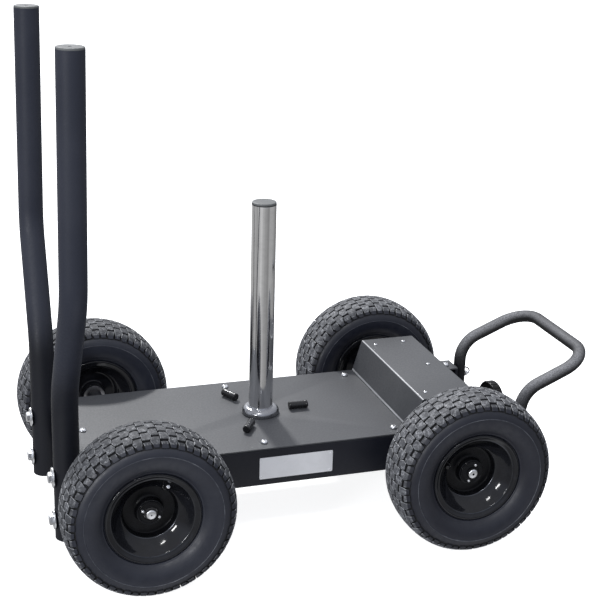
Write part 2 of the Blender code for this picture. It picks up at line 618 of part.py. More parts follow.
for label, side in SIDES:
    tag = "rear_" + label
    spin = empty("wheel_axis_" + tag, (-AXLE_X, side * WHEEL_Y, WHEEL_R), along_y(side), ROOT)
    wheel(tag, spin, True)
    hub_bolt(tag, spin, True)
    tag = "front_" + label
    spin = empty("wheel_axis_" + tag, (0.0, side * WHEEL_Y, 0.0), along_y(side), front_axis)
    wheel(tag, spin, False)
    hub_bolt(tag, spin, False)
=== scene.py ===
"""Looks for the weight sled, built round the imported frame.

Every visible piece is made here at full detail in the frame's own coordinates
(metres, +X towards the tow handle, -Y near side, +Z up) and rides on its body.
"""

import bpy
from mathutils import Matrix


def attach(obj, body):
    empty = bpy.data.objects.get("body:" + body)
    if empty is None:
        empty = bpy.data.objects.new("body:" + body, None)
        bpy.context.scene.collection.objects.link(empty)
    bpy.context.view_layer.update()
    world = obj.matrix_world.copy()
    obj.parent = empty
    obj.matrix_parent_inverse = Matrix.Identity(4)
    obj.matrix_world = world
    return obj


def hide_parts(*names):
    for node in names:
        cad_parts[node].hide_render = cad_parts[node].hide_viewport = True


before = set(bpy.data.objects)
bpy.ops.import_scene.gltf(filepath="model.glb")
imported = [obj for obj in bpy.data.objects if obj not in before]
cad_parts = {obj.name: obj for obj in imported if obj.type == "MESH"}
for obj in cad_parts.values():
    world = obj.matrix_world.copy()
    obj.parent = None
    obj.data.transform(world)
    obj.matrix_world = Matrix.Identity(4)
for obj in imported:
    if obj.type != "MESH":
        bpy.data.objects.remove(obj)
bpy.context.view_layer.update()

import math

import bmesh
import bpy
import numpy as np
from mathutils import Matrix, Vector

TAU = 2.0 * math.pi
SX = -0.09276                 # the wheelbase's middle in the frame

LOOKS = bpy.data.collections.new("sled_looks")
bpy.context.scene.collection.children.link(LOOKS)
SIDES = (("near", -1), ("far", 1))


# ======================================================================= nodes
class Paint:
    """Small helper that builds one procedural material."""

    def __init__(self, name):
        self.mat = bpy.data.materials.new(name)
        self.mat.use_nodes = True
        self.nt = self.mat.node_tree
        self.bsdf = self.nt.nodes["Principled BSDF"]
        self.tc = self.nt.nodes.new("ShaderNodeTexCoord")

    def put(self, kind, **inputs):
        node = self.nt.nodes.new("ShaderNode" + kind)
        for key, value in inputs.items():
            if hasattr(node, key) and not key[0].isupper():
                setattr(node, key, value)
        return node

    def link(self, a, b):
        self.nt.links.new(a, b)

    def where(self, scale=(1, 1, 1)):
        m = self.put("Mapping")
        m.inputs["Scale"].default_value = scale
        self.link(self.tc.outputs["Object"], m.inputs["Vector"])
        return m.outputs["Vector"]

    def noise(self, scale, detail=3.0, rough=0.5, distort=0.0, stretch=(1, 1, 1)):
        n = self.put("TexNoise")
        n.inputs["Scale"].default_value = scale
        n.inputs["Detail"].default_value = detail
        n.inputs["Roughness"].default_value = rough
        n.inputs["Distortion"].default_value = distort
        self.link(self.where(stretch), n.inputs["Vector"])
        return n.outputs["Fac"]

    def span(self, value, a, b, lo=0.0, hi=1.0):
        r = self.put("MapRange")
        r.interpolation_type = 'SMOOTHSTEP'
        r.inputs["From Min"].default_value = a
        r.inputs["From Max"].default_value = b
        r.inputs["To Min"].default_value = lo
        r.inputs["To Max"].default_value = hi
        self.link(value, r.inputs["Value"])
        return r.outputs["Result"]

    def math(self, op, a, b):
        m = self.put("Math")
        m.operation = op
        for k, v in enumerate((a, b)):
            if isinstance(v, (int, float)):
                m.inputs[k].default_value = v
            else:
                self.link(v, m.inputs[k])
        return m.outputs[0]

    def mix(self, fac, a, b):
        m = self.put("Mix")
        m.data_type = 'RGBA'
        for sock, v in ((m.inputs[0], fac), (m.inputs[6], a), (m.inputs[7], b)):
            if isinstance(v, (int, float)):
                sock.default_value = v
            elif isinstance(v, tuple):
                sock.default_value = (*v, 1.0)
            else:
                self.link(v, sock)
        return m.outputs[2]

    def axis(self, name):
        """One component of the object-space position."""
        s = self.put("SeparateXYZ")
        self.link(self.tc.outputs["Object"], s.inputs[0])
        return s.outputs[name]

    def upward(self):
        """How far the surface faces up, from the object-space normal."""
        s = self.put("SeparateXYZ")
        self.link(self.tc.outputs["Normal"], s.inputs[0])
        return s.outputs["Z"]

    def bump(self, height, strength, distance, under=None):
        b = self.put("Bump")
        b.inputs["Strength"].default_value = strength
        b.inputs["Distance"].default_value = distance
        self.link(height, b.inputs["Height"])
        if under is not None:
            self.link(under, b.inputs["Normal"])
        return b.outputs["Normal"]

    def set(self, **values):
        names = {"color": "Base Color", "rough": "Roughness", "metal": "Metallic",
                 "normal": "Normal", "coat": "Coat Weight", "coat_rough": "Coat Roughness",
                 "spec": "Specular IOR Level"}
        for key, v in values.items():
            sock = self.bsdf.inputs[names[key]]
            if isinstance(v, (int, float)):
                sock.default_value = v
            elif isinstance(v, tuple):
                sock.default_value = (*v, 1.0)
            else:
                self.link(v, sock)
        return self.mat


def powder(name, base, light, dust, dust_and_light_top, rough=0.46, grain=1.0, spec=0.5, edge_and_under_shade=0.0, black_below=0.0,
           foot=0.0):
    """Textured powder coat: base colour, slightly lighter blotches, and dust with painted light on what faces up."""
    p = Paint(name)
    blotch = p.span(p.noise(5.0, 4, 0.6, 0.4), 0.35, 0.68)
    fine = p.noise(1100.0, 2, 0.5)
    mid = p.noise(260.0, 3, 0.55)
    body = p.mix(blotch, base, light)
    # painted light: faces turned up take the dust colour, as dust and as the light that falls on them from above
    up = p.span(p.upward(), 0.55, 0.98)
    settle = p.span(p.noise(7.0, 5, 0.60, 0.5), 0.25, 0.75, 0.84, 1.0)
    body = p.mix(p.math('MULTIPLY', p.math('MULTIPLY', up, settle), dust_and_light_top), body, dust)
    scuff = p.span(p.noise(46.0, 6, 0.7, 1.6, (1, 0.25, 1)), 0.68, 0.76, 0.0, 0.28)
    body = p.mix(p.math('MULTIPLY', scuff, p.span(fine, 0.4, 0.6)), body, dust)
    speck = p.span(p.noise(420.0, 3, 0.6), 0.34, 0.66, 0.66, 1.40) if edge_and_under_shade else p.span(fine, 0.30, 0.72, 0.9, 1.12)
    hsv = p.put("HueSaturation")
    p.link(speck, hsv.inputs["Value"])
    p.link(body, hsv.inputs["Color"])
    r = p.math('ADD', p.span(mid, 0.3, 0.7, rough - 0.06, rough + 0.08),
               p.math('MULTIPLY', up, 0.06))
    n = p.bump(fine, 0.35 * grain, 0.00012)
    n = p.bump(mid, 0.22 * grain, 0.00018, n)
    color = hsv.outputs["Color"]
    if edge_and_under_shade:
        # painted shade: darker where the surface is seen edge on, and darker again on faces turned down, away from the
        # light
        lw = p.put("LayerWeight")
        lw.inputs["Blend"].default_value = 0.5
        shade = p.span(lw.outputs["Facing"], 0.10, 0.78, 0.0, edge_and_under_shade)
        color = p.mix(shade, color, tuple(0.20 * c for c in base))
        color = p.mix(p.span(p.upward(), -0.20, 0.84, 0.97, 0.0), color, tuple(0.05 * c for c in base))
    if black_below:
        # below the given height the colour runs to almost black, with a noisy edge; on the handle these are the ends
        # that stand in the sockets
        low = p.math('ADD', p.axis("Z"), p.span(p.noise(60.0, 4, 0.6), 0.3, 0.7, -0.006, 0.006))
        color = p.mix(p.span(low, black_below - 0.040, black_below, 0.90, 0.0), color, (0.008, 0.0085, 0.011))
    if foot:
        # painted shade: the colour darkens towards the bottom, where the wheels and frame shade the lower part
        low = p.math('ADD', p.axis("Z"), p.span(p.noise(9.0, 4, 0.6), 0.3, 0.7, -0.015, 0.015))
        color = p.mix(p.span(low, foot - 0.150, foot, 0.85, 0.0), color, tuple(0.22 * c for c in base))
    return p.set(color=color, rough=r, normal=n, spec=spec)


def rubber(name, base, dust, amount, rough, scale=1.0, grain=1.0, fleck=0.0):
    p = Paint(name)
    fine = p.noise(1400.0, 3, 0.6)
    patch = p.span(p.noise(26.0 * scale, 6, 0.65, 0.6), 0.40, 0.72)
    if fleck:
        small = p.span(p.noise(300.0, 3, 0.75, 0.8), 0.44, 0.60, 1.0 - fleck, 1.0 + fleck)
        patch = p.math('MULTIPLY', patch, small)
    col = p.mix(p.math('MULTIPLY', patch, amount), base, dust)
    r = p.span(p.noise(70.0, 4, 0.6), 0.3, 0.7, rough - 0.07, rough + 0.09)
    n = p.bump(fine, 0.45 * grain, 0.00012)
    n = p.bump(p.noise(210.0, 4, 0.6), 0.25 * grain, 0.0003, n)
    return p.set(color=col, rough=r, normal=n)


def metal(name, base, dull, rough, grain=900.0, stretch=(1, 1, 1), bump=0.12, spread=0.08, metallic=1.0):
    p = Paint(name)
    line = p.noise(grain, 3, 0.6, 0.0, stretch)
    cloud = p.span(p.noise(38.0, 5, 0.62, 0.6), 0.36, 0.74)
    col = p.mix(p.math('MULTIPLY', cloud, 0.55), base, dull)
    r = p.math('ADD', p.span(line, 0.3, 0.7, rough - spread * 0.4, rough + spread * 0.4),
               p.math('MULTIPLY', cloud, spread))
    return p.set(color=col, rough=r, metal=metallic, normal=p.bump(line, bump, 0.0001))


DECK = powder("deck_paint", (0.0430, 0.0450, 0.0495), (0.053, 0.055, 0.0595),
              (0.088, 0.091, 0.097), 0.45, 0.46, spec=0.38)
# lighter paint for the folds, the seam and the deck's rear edge: worn paint and painted highlight
FOLD_WEAR_HIGHLIGHT = powder("fold_wear_and_highlight", (0.26, 0.265, 0.275), (0.38, 0.385, 0.395), (0.46, 0.465, 0.475), 0.6, 0.38)
# painted shade: a far darker copy of the deck paint, for the rails, end plates, crossmember and handle sockets
FRAME_SHADED_PAINT = powder("frame_paint", (0.0042, 0.0050, 0.0094), (0.0064, 0.0074, 0.0128),
               (0.07, 0.07, 0.072), 0.35, 0.46, 0.8, spec=0.35)
# the poles get painted shade on their lower part, darkening from z 0.46 down
POLE = powder("pole_paint", (0.0210, 0.0242, 0.0365), (0.0272, 0.0304, 0.0436),
              (0.10, 0.105, 0.11), 0.35, 0.50, 0.9, spec=0.30, foot=0.46)
# the handle gets painted shade on its edges and underside
HANDLE = powder("handle_paint", (0.188, 0.189, 0.196), (0.246, 0.248, 0.257),
                (0.24, 0.242, 0.248), 0.15, 0.60, 3.6, 0.15, 0.80, 0.228)
TREAD_TOP = rubber("tread_top", (0.052, 0.054, 0.060), (0.330, 0.336, 0.350), 0.74, 0.68, 3.4, 3.6, 0.80)
# painted shade: a darker copy of the tread-top rubber, used on the rear tyres
TREAD_TOP_REAR_SHADED = rubber("tread_top_rear_shaded", (0.034, 0.036, 0.041), (0.290, 0.296, 0.310), 0.58, 0.68, 3.4, 3.6, 0.85)
# painted highlight: lighter rubber on the block chamfers that run across the tread
TREAD_EDGE_HIGHLIGHT = rubber("tread_edge_highlight", (0.14, 0.144, 0.152), (0.46, 0.466, 0.480), 0.85, 0.50, 3.0, 1.0)
# painted shade: block walls and groove floors get rubber darker than the sidewall's
TREAD_WALL_SHADE = rubber("tread_wall_shade", (0.0050, 0.0053, 0.0065), (0.026, 0.027, 0.030), 0.45, 0.88, 1.6)
# painted shade: a darker copy of the sidewall rubber, used on the front tyres
SIDEWALL_FRONT_SHADED = rubber("sidewall_front_shaded", (0.0062, 0.0075, 0.0150), (0.0150, 0.0170, 0.0260), 0.40, 0.46, 0.5, 0.6)
# painted highlight: lighter rubber on the thin ridge of the sidewall
MOULD_LINE_HIGHLIGHT = rubber("mould_line_highlight", (0.026, 0.030, 0.041), (0.175, 0.183, 0.200), 0.62, 0.44, 1.2)
SIDEWALL = rubber("sidewall", (0.0112, 0.0132, 0.0222), (0.0255, 0.0285, 0.0400), 0.40, 0.44, 0.5, 0.6)
SOFT = rubber("rest_rubber", (0.0050, 0.0052, 0.0060), (0.014, 0.014, 0.015), 0.4, 0.22)
COLLAR = metal("collar_chrome", (0.33, 0.335, 0.35), (0.22, 0.22, 0.23), 0.22, 300.0, (1, 1, 1), 0.10, 0.10)
WIRE = metal("pin_wire", (0.13, 0.13, 0.135), (0.08, 0.08, 0.085), 0.35, 700.0, (1, 1, 1), 0.10, 0.10)
CHROME = metal("chrome", (0.90, 0.90, 0.91), (0.76, 0.76, 0.77), 0.06, 300.0, (1, 1, 0.04), 0.03, 0.05)
ZINC = metal("zinc", (0.78, 0.79, 0.81), (0.56, 0.57, 0.58), 0.30, 700.0, (1, 1, 1), 0.10, 0.10)
TURNED = metal("turned_steel", (0.46, 0.46, 0.47), (0.24, 0.23, 0.22), 0.32, 1500.0, (1, 6, 1), 0.2, 0.12)
PLATE = metal("brushed_plate", (0.81, 0.815, 0.835), (0.72, 0.725, 0.74), 0.38, 260.0, (0.06, 1, 9), 0.25, 0.10, 0.45)


def gloss_black():
    p = Paint("rim_paint")
    haze = p.span(p.noise(34.0, 5, 0.65, 0.8), 0.42, 0.78)
    col = p.mix(p.math('MULTIPLY', haze, 0.5), (0.0085, 0.0089, 0.0110), (0.020, 0.021, 0.026))
    r = p.math('ADD', p.span(p.noise(260.0, 3, 0.5), 0.3, 0.7, 0.05, 0.09),
               p.math('MULTIPLY', haze, 0.06))
    n = p.bump(p.noise(90.0, 2, 0.5), 0.10, 0.0003)
    return p.set(color=col, rough=r, normal=n, spec=0.32)


def plastic(name, base, light, rough, grain=700.0):
    p = Paint(name)
    fine = p.noise(grain, 3, 0.6)
    patch = p.span(p.noise(60.0, 5, 0.6, 0.5), 0.38, 0.72)
    col = p.mix(p.math('MULTIPLY', patch, 0.6), base, light)
    r = p.span(fine, 0.3, 0.7, rough - 0.05, rough + 0.06)
    return p.set(color=col, rough=r, normal=p.bump(fine, 0.2, 0.0001))


RIM = gloss_black()
# painted highlight: lighter metal rings at the rim's lip and at the edge of its opening
RIM_EDGE_HIGHLIGHT = metal("rim_edge_highlight", (0.070, 0.073, 0.082), (0.022, 0.023, 0.027), 0.18, 200.0, (1, 1, 1), 0.05, 0.06)
# painted shade: near-black for the deep well of the rim and the hub flange
RIM_WELL_SHADE = plastic("rim_well_shade", (0.0035, 0.0037, 0.0046), (0.0085, 0.0090, 0.0110), 0.30, 300.0)
RIM_WELL_SHADE.node_tree.nodes["Principled BSDF"].inputs["Specular IOR Level"].default_value = 0.14
CAP = plastic("cap_grey", (0.100, 0.105, 0.106), (0.145, 0.150, 0.151), 0.50)
KNOB = plastic("knob_black", (0.0020, 0.0020, 0.0023), (0.005, 0.005, 0.0056), 0.30)
KNOB.node_tree.nodes["Principled BSDF"].inputs["Specular IOR Level"].default_value = 0.25
IRON = plastic("cast_iron", (0.020, 0.020, 0.022), (0.050, 0.047, 0.045), 0.52, 420.0)
# painted shade: near-black for screw sockets and for the gap under the post cap
SOCKET_SHADE = plastic("socket_shade", (0.010, 0.010, 0.011), (0.030, 0.030, 0.030), 0.6)


# ==================================================================== geometry
class Shape:
    """Vertices, faces and material numbers of one piece."""

    def __init__(self):
        self.v, self.f, self.m = [], [], []

    def add(self, verts, faces, mat=0, matrix=None):
        base = len(self.v)
        matrix = matrix or Matrix.Identity(4)
        self.v += [matrix @ Vector(v) for v in verts]
        self.f += [tuple(i + base for i in f) for f in faces]
        self.m += [mat] * len(faces) if isinstance(mat, int) else list(mat)
        return self

    def make(self, name, mats, body, slot, nodes=(), angle=32.0, flip=True):
        me = bpy.data.meshes.new(name)
        me.from_pydata([tuple(v) for v in self.v], [], self.f)
        for m in mats:
            me.materials.append(m)
        me.polygons.foreach_set("material_index", self.m)
        if flip:
            bm = bmesh.new()
            bm.from_mesh(me)
            bmesh.ops.recalc_face_normals(bm, faces=bm.faces)
            bm.to_mesh(me)
            bm.free()
        me.shade_smooth()
        me.set_sharp_from_angle(angle=math.radians(angle))
        me.update()
        return settle(bpy.data.objects.new(name, me), body, slot, nodes)


def settle(ob, body, slot, nodes=()):
    if not ob.users_collection:
        LOOKS.objects.link(ob)
    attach(ob, body)
    if nodes:
        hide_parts(*nodes)
    return ob


def skin(rings, closed=False, cap_first=False, cap_last=False):
    """Faces between rings of equal point counts. A ring of one point is a tip."""
    verts, rows, faces = [], [], []
    for ring in rings:
        rows.append(range(len(verts), len(verts) + len(ring)))
        verts += [Vector(p) for p in ring]
    pairs = list(zip(rows, rows[1:])) + ([(rows[-1], rows[0])] if closed else [])
    for a, b in pairs:
        n = max(len(a), len(b))
        if n == 1:
            continue
        for i in range(n):
            j = (i + 1) % n
            if len(a) == 1:
                faces.append((a[0], b[i], b[j]))
            elif len(b) == 1:
                faces.append((a[i], b[0], a[j]))
            else:
                faces.append((a[i], b[i], b[j], a[j]))
    if cap_first:
        faces.append(tuple(rows[0]))
    if cap_last:
        faces.append(tuple(reversed(rows[-1])))
    return verts, faces


def lathe(profile, steps=64, phase=0.0, closed=False):
    """Turn (radius, height) points about local Z."""
    rings = []
    for r, h in profile:
        if r < 1e-7:
            rings.append([(0.0, 0.0, h)])
        else:
            rings.append([(r * math.cos(phase + TAU * k / steps),
                           r * math.sin(phase + TAU * k / steps), h) for k in range(steps)])
    return skin(rings, closed)


def soften(points, radius, count=3, closed=False):
    """Round the corners of a 2-D line. radius may be one number or one per point."""
    pts = [Vector(p) for p in points]
    n = len(pts)
    radii = [radius] * n if isinstance(radius, (int, float)) else list(radius)
    out = []
    for i, p in enumerate(pts):
        if not closed and i in (0, n - 1) or radii[i] <= 0:
            out.append(tuple(p))
            continue
        a, b = pts[i - 1], pts[(i + 1) % n]
        u, v = a - p, b - p
        if u.length < 1e-9 or v.length < 1e-9:
            out.append(tuple(p))
            continue
        d = min(radii[i], u.length * 0.48, v.length * 0.48)
        s, e = p + u.normalized() * d, p + v.normalized() * d
        for k in range(count + 1):
            w = k / count
            out.append(tuple(s * (1 - w) ** 2 + p * 2 * w * (1 - w) + e * w * w))
    return out


def arc_line(points, radii, count):
    """Line in space whose inner corners are true arcs."""
    points = [Vector(p) for p in points]
    out = [points[0]]
    for i in range(1, len(points) - 1):
        a, b, c = points[i - 1], points[i], points[i + 1]
        u, v = (a - b).normalized(), (c - b).normalized()
        half = u.angle(v) / 2.0
        reach = radii[i - 1] / math.tan(half)
        start, end = b + u * reach, b + v * reach
        centre = b + (u + v).normalized() * (radii[i - 1] / math.sin(half))
        s, e = start - centre, end - centre
        sweep = s.angle(e)
        for k in range(count + 1):
            w = k / count
            out.append(centre + (s * math.sin((1 - w) * sweep) + e * math.sin(w * sweep))
                       / math.sin(sweep))
    out.append(points[-1])
    return out


def fill_line(points, step):
    """More points on the straight runs of a line."""
    out = [points[0]]
    for a, b in zip(points, points[1:]):
        n = max(1, int((b - a).length / step))
        out += [a.lerp(b, (k + 1) / n) for k in range(n)]
    return out


def tube(points, radius, sides=24, closed=False, caps=True):
    """Round bar along a line; radius may vary along it."""
    pts = [Vector(p) for p in points]
    n = len(pts)
    radii = [radius] * n if isinstance(radius, (int, float)) else radius
    tangents = []
    for i in range(n):
        a = pts[i - 1] if (i or closed) else pts[0]
        b = pts[(i + 1) % n] if (i < n - 1 or closed) else pts[-1]
        tangents.append((b - a).normalized())
    side = tangents[0].orthogonal().normalized()
    rings = []
    for i, t in enumerate(tangents):
        side = (side - t * side.dot(t)).normalized()
        up = t.cross(side)
        rings.append([pts[i] + (side * math.cos(TAU * k / sides) + up * math.sin(TAU * k / sides))
                      * radii[i] for k in range(sides)])
    if closed:
        return skin(rings, True)
    return skin(rings, False, caps, caps)


def hexring(apothem, z, count=48, limit=None, drop=None):
    """Ring of a hexagon; limit rounds its corners off, drop lowers them."""
    out = []
    for k in range(count):
        a = TAU * k / count
        local = (a + math.pi / 6) % (math.pi / 3) - math.pi / 6
        r = apothem / math.cos(local)
        if limit:
            r = min(r, limit)
        h = z - (max(0.0, r - drop) * 0.58 if drop else 0.0)
        out.append((r * math.cos(a), r * math.sin(a), h))
    return out


def round_ring(r, z, count=48):
    return [(r * math.cos(TAU * k / count), r * math.sin(TAU * k / count), z)
            for k in range(count)]


def toward(direction, at):
    """Matrix whose local Z points along direction, placed at a point."""
    d = Vector(direction).normalized()
    return Matrix.Translation(at) @ d.to_track_quat('Z', 'Y').to_matrix().to_4x4()


def sheet(name, loops, thickness, plane, level, edge=0.0005, rounds=2):
    """Flat piece with rounded edges, as mesh data in the frame."""
    cu = bpy.data.curves.new(name, 'CURVE')
    cu.dimensions = '2D'
    cu.fill_mode = 'BOTH'
    cu.extrude = thickness / 2.0 - edge
    cu.bevel_depth = edge
    cu.bevel_resolution = rounds
    cu.offset = -edge
    for loop in loops:
        sp = cu.splines.new('POLY')
        sp.points.add(len(loop) - 1)
        for point, (a, b) in zip(sp.points, loop):
            point.co = (a, b, 0.0, 1.0)
        sp.use_cyclic_u = True
    temp = bpy.data.objects.new(name + "_outline", cu)
    LOOKS.objects.link(temp)
    bpy.context.view_layer.update()
    me = bpy.data.meshes.new_from_object(temp.evaluated_get(bpy.context.evaluated_depsgraph_get()))
    bpy.data.objects.remove(temp, do_unlink=True)
    bm = bmesh.new()
    bm.from_mesh(me)
    bmesh.ops.remove_doubles(bm, verts=bm.verts, dist=0.00001)
    turn = {"XY": Matrix.Identity(4),
            "XZ": Matrix.Rotation(math.pi / 2, 4, 'X'),
            "YZ": Matrix(((0, 0, 1, 0), (1, 0, 0, 0), (0, 1, 0, 0), (0, 0, 0, 1)))}[plane]
    spot = {"XY": (0, 0, level), "XZ": (0, level, 0), "YZ": (level, 0, 0)}[plane]
    bmesh.ops.transform(bm, matrix=Matrix.Translation(spot) @ turn, verts=bm.verts)
    verts = [v.co.copy() for v in bm.verts]
    faces = [tuple(v.index for v in f.verts) for f in bm.faces]
    bm.free()
    bpy.data.meshes.remove(me)
    return verts, faces


def circle(cx, cy, r, n=40):
    return [(cx + r * math.cos(TAU * k / n), cy + r * math.sin(TAU * k / n)) for k in range(n)]


def box_shape(low, high, bevel=0.0006, segments=2):
    bm = bmesh.new()
    bmesh.ops.create_cube(bm, size=1.0)
    size = [b - a for a, b in zip(low, high)]
    bmesh.ops.scale(bm, vec=Vector(size), verts=bm.verts)
    bmesh.ops.translate(bm, vec=Vector([(a + b) / 2 for a, b in zip(low, high)]), verts=bm.verts)
    bmesh.ops.bevel(bm, geom=bm.edges[:], offset=bevel, segments=segments, affect='EDGES',
                    profile=0.5)
    verts = [v.co.copy() for v in bm.verts]
    faces = [tuple(v.index for v in f.verts) for f in bm.faces]
    bm.free()
    return verts, faces


# ============================================================= deck and frame
DECK_TOP, SHEET = 0.2042, 0.003
DECK_X0, DECK_X1, DECK_HALF = -0.427 + SX, 0.2468 + SX, 0.1758
POST_X = -0.0216 + SX
FRONT_X = 0.488 + SX
SCREWS = [(x + SX, y) for x, y in ((-0.396, 0.0), (-0.058, 0.148), (-0.058, -0.148),
                                   (0.2198, 0.148), (0.2198, -0.148), (0.468, 0.148),
                                   (0.468, -0.148))]

corner = 0.004
outline = soften([(DECK_X0, -DECK_HALF), (DECK_X1, -DECK_HALF), (DECK_X1, DECK_HALF),
                  (DECK_X0, DECK_HALF)], corner, 5, True)
deck = Shape()
verts, faces = sheet("deck", [outline, circle(POST_X, 0, 0.0253, 64)], SHEET, "XY",
                     DECK_TOP - SHEET / 2, 0.0009, 3)


def edge_marks(verts, faces, test):
    marks = []
    for f in faces:
        c = sum((verts[i] for i in f), Vector()) / len(f)
        marks.append(1 if test(c, f) else 0)
    return marks


def near_rim(c, f):
    return abs(c.x - DECK_X0) < 0.0009 and c.z > DECK_TOP - 0.0008


# the deck's rear edge takes the lighter fold paint: worn paint and painted highlight
deck.add(verts, faces, edge_marks(verts, faces, near_rim))
deck.make("deck_sheet", [DECK, FOLD_WEAR_HIGHLIGHT], "chassis", "deck_paint", ["deck_plate"], 40)

# cover: one folded sheet from the deck up over the axle and down to the front strip
x0, x1, x2, x3 = [x + SX for x in (0.2473, 0.2690, 0.3924, 0.4132)]
CT = 0.2738
fold_r = 0.0042


def offset_line(points, d):
    """The same open 2-D line moved sideways by d."""
    pts = [Vector(p) for p in points]
    out = []
    for i, p in enumerate(pts):
        norms = []
        for a, b in ((i - 1, i), (i, i + 1)):
            if 0 <= a and b < len(pts):
                t = (pts[b] - pts[a]).normalized()
                norms.append(Vector((t.y, -t.x)))
        m = sum(norms, Vector((0, 0))).normalized()
        out.append(tuple(p + m * (d / m.dot(norms[0]))))
    return out


NOTCH_X, NOTCH_HALF, FRONT_LOW = 0.462 + SX, 0.125, 0.180
LIP_X = x3 + 0.0060
top_line = [(x0, DECK_TOP - SHEET), (x1, CT), (x2, CT), (x3, DECK_TOP), (LIP_X, DECK_TOP)]
under = offset_line(top_line, SHEET)
under[0] = (under[0][0] + 0.0001, DECK_TOP - SHEET)
foot = Vector((x1 - x0, CT - DECK_TOP + SHEET)).normalized()
seam = [(x0 + foot.x * d, DECK_TOP - SHEET + foot.y * d) for d in (0.0031, 0.0043, 0.0072)]
outer = ([(x0, DECK_TOP - SHEET)] + seam
         + soften(top_line, [0, fold_r, fold_r, fold_r, 0], 8)[1:])
inner = soften(under, [0, fold_r * 0.5, fold_r * 0.5, fold_r * 1.3, 0], 6)
section = outer + list(reversed(inner))
verts, faces = sheet("cover", [section], 2 * DECK_HALF, "XZ", 0.0, 0.0004, 2)


def on_fold(c, f):
    q = Vector((c.x, c.z))
    if (q - Vector((x1, CT))).length < 0.0027 and c.z > CT - 0.0016:
        return True
    return (q - Vector((x0, DECK_TOP))).length < 0.0042 and c.z > DECK_TOP - 0.0004 and c.x < x0 + 0.004


# the rear fold and the deck seam take the lighter fold paint: worn paint and painted highlight
cover = Shape().add(verts, faces, edge_marks(verts, faces, on_fold))
lip = [(LIP_X + 0.00005, -DECK_HALF), (FRONT_X, -DECK_HALF), (FRONT_X, -NOTCH_HALF), (NOTCH_X, -NOTCH_HALF),
       (NOTCH_X, NOTCH_HALF), (FRONT_X, NOTCH_HALF), (FRONT_X, DECK_HALF), (LIP_X + 0.00005, DECK_HALF)]
lip = soften(lip, [0, 0.0020, 0.0015, 0.0040, 0.0040, 0.0015, 0.0020, 0], 5, True)
cover.add(*sheet("lip", [lip], SHEET, "XY", DECK_TOP - SHEET / 2, 0.0004, 2))
cover.make("front_cover_sheet", [DECK, FOLD_WEAR_HIGHLIGHT], "chassis", "deck_paint", ["front_cover"], 28)


# ---- side rails: a folded channel swept along X, with a raised cheek
RAIL_OUT, RAIL_T = 0.1750, 0.003
RAIL_LOW, RAIL_TOP = 0.1234, 0.2042 - 0.003 - 0.0003
RX0, RX1 = DECK_X0 + 0.0063, FRONT_X - 0.0063
CHEEK = CT - SHEET - 0.0003
WHEEL_R, WHEEL_Y, AX = 0.165, 0.288, 0.3247


def channel(side):
    """Cross-section of the rail in (y, z), open towards the middle."""
    o, i = RAIL_OUT, RAIL_OUT - RAIL_T
    f = 0.1304
    pts = [(f, RAIL_LOW), (o, RAIL_LOW), (o, RAIL_TOP), (f, RAIL_TOP),
           (f, RAIL_TOP - RAIL_T), (i, RAIL_TOP - RAIL_T), (i, RAIL_LOW + RAIL_T),
           (f, RAIL_LOW + RAIL_T)]
    radii = [0.0006, 0.0045, 0.0052, 0.0006, 0.0006, 0.0025, 0.0015, 0.0006]
    return [(side * y, z) for y, z in soften(pts, radii, 5, True)]


for label, side in SIDES:
    ring = channel(side)
    rail = Shape()
    xs = [RX0, RX1]
    rail.add(*skin([[(x, y, z) for y, z in ring] for x in xs], False, True, True))
    cheek = soften([(0.2504 + SX, RAIL_TOP - 0.004), (0.2513 + SX, RAIL_TOP), (0.2721 + SX, CHEEK),
                    (0.3896 + SX, CHEEK), (0.4104 + SX, RAIL_TOP), (0.4113 + SX, RAIL_TOP - 0.004)],
                   [0.0, 0.001, 0.003, 0.003, 0.001, 0.0], 3, True)
    rail.add(*sheet("cheek", [cheek], RAIL_T, "XZ", side * (RAIL_OUT - RAIL_T / 2), 0.0005, 2))
    out = (0, side, 0)
    # boss that carries the rear axle, welded to the rail
    boss = soften([(0.0103, 0.0893), (0.0160, 0.0893), (0.0160, 0.0065), (0.0300, 0.0062),
                   (0.0300, 0.0000), (0.0103, 0.0000)],
                  [0.0, 0.0012, 0.002, 0.0012, 0.0, 0.0], 4)
    rail.add(*lathe(boss, 64, 0.0, True),
             matrix=toward(out, (-AX + SX, side * (RAIL_OUT - 0.0004), WHEEL_R)))
    bead = [(-AX + SX + 0.0163 * math.cos(TAU * k / 48) * (1 + 0.02 * math.sin(11 * TAU * k / 48)),
             side * (RAIL_OUT + 0.0066), WHEEL_R + 0.0163 * math.sin(TAU * k / 48)) for k in range(48)]
    rail.add(*tube(bead, 0.0013, 8, True))
    for k in (-1, 1):
        rail.add(*skin([hexring(0.0050, 0.0, 48, 0.0056), hexring(0.0050, 0.0040, 48, 0.0056, 0.0048),
                        round_ring(0.0046, 0.0042), [(0, 0, 0.0042)]]), 1,
                 matrix=toward(out, (-AX + SX + k * 0.0228, side * (RAIL_OUT + 0.0056), WHEEL_R)))
    rail.make("side_rail_%s_folded" % label, [FRAME_SHADED_PAINT, ZINC], "chassis", "frame_paint",
              ["side_rail_" + label], 35)

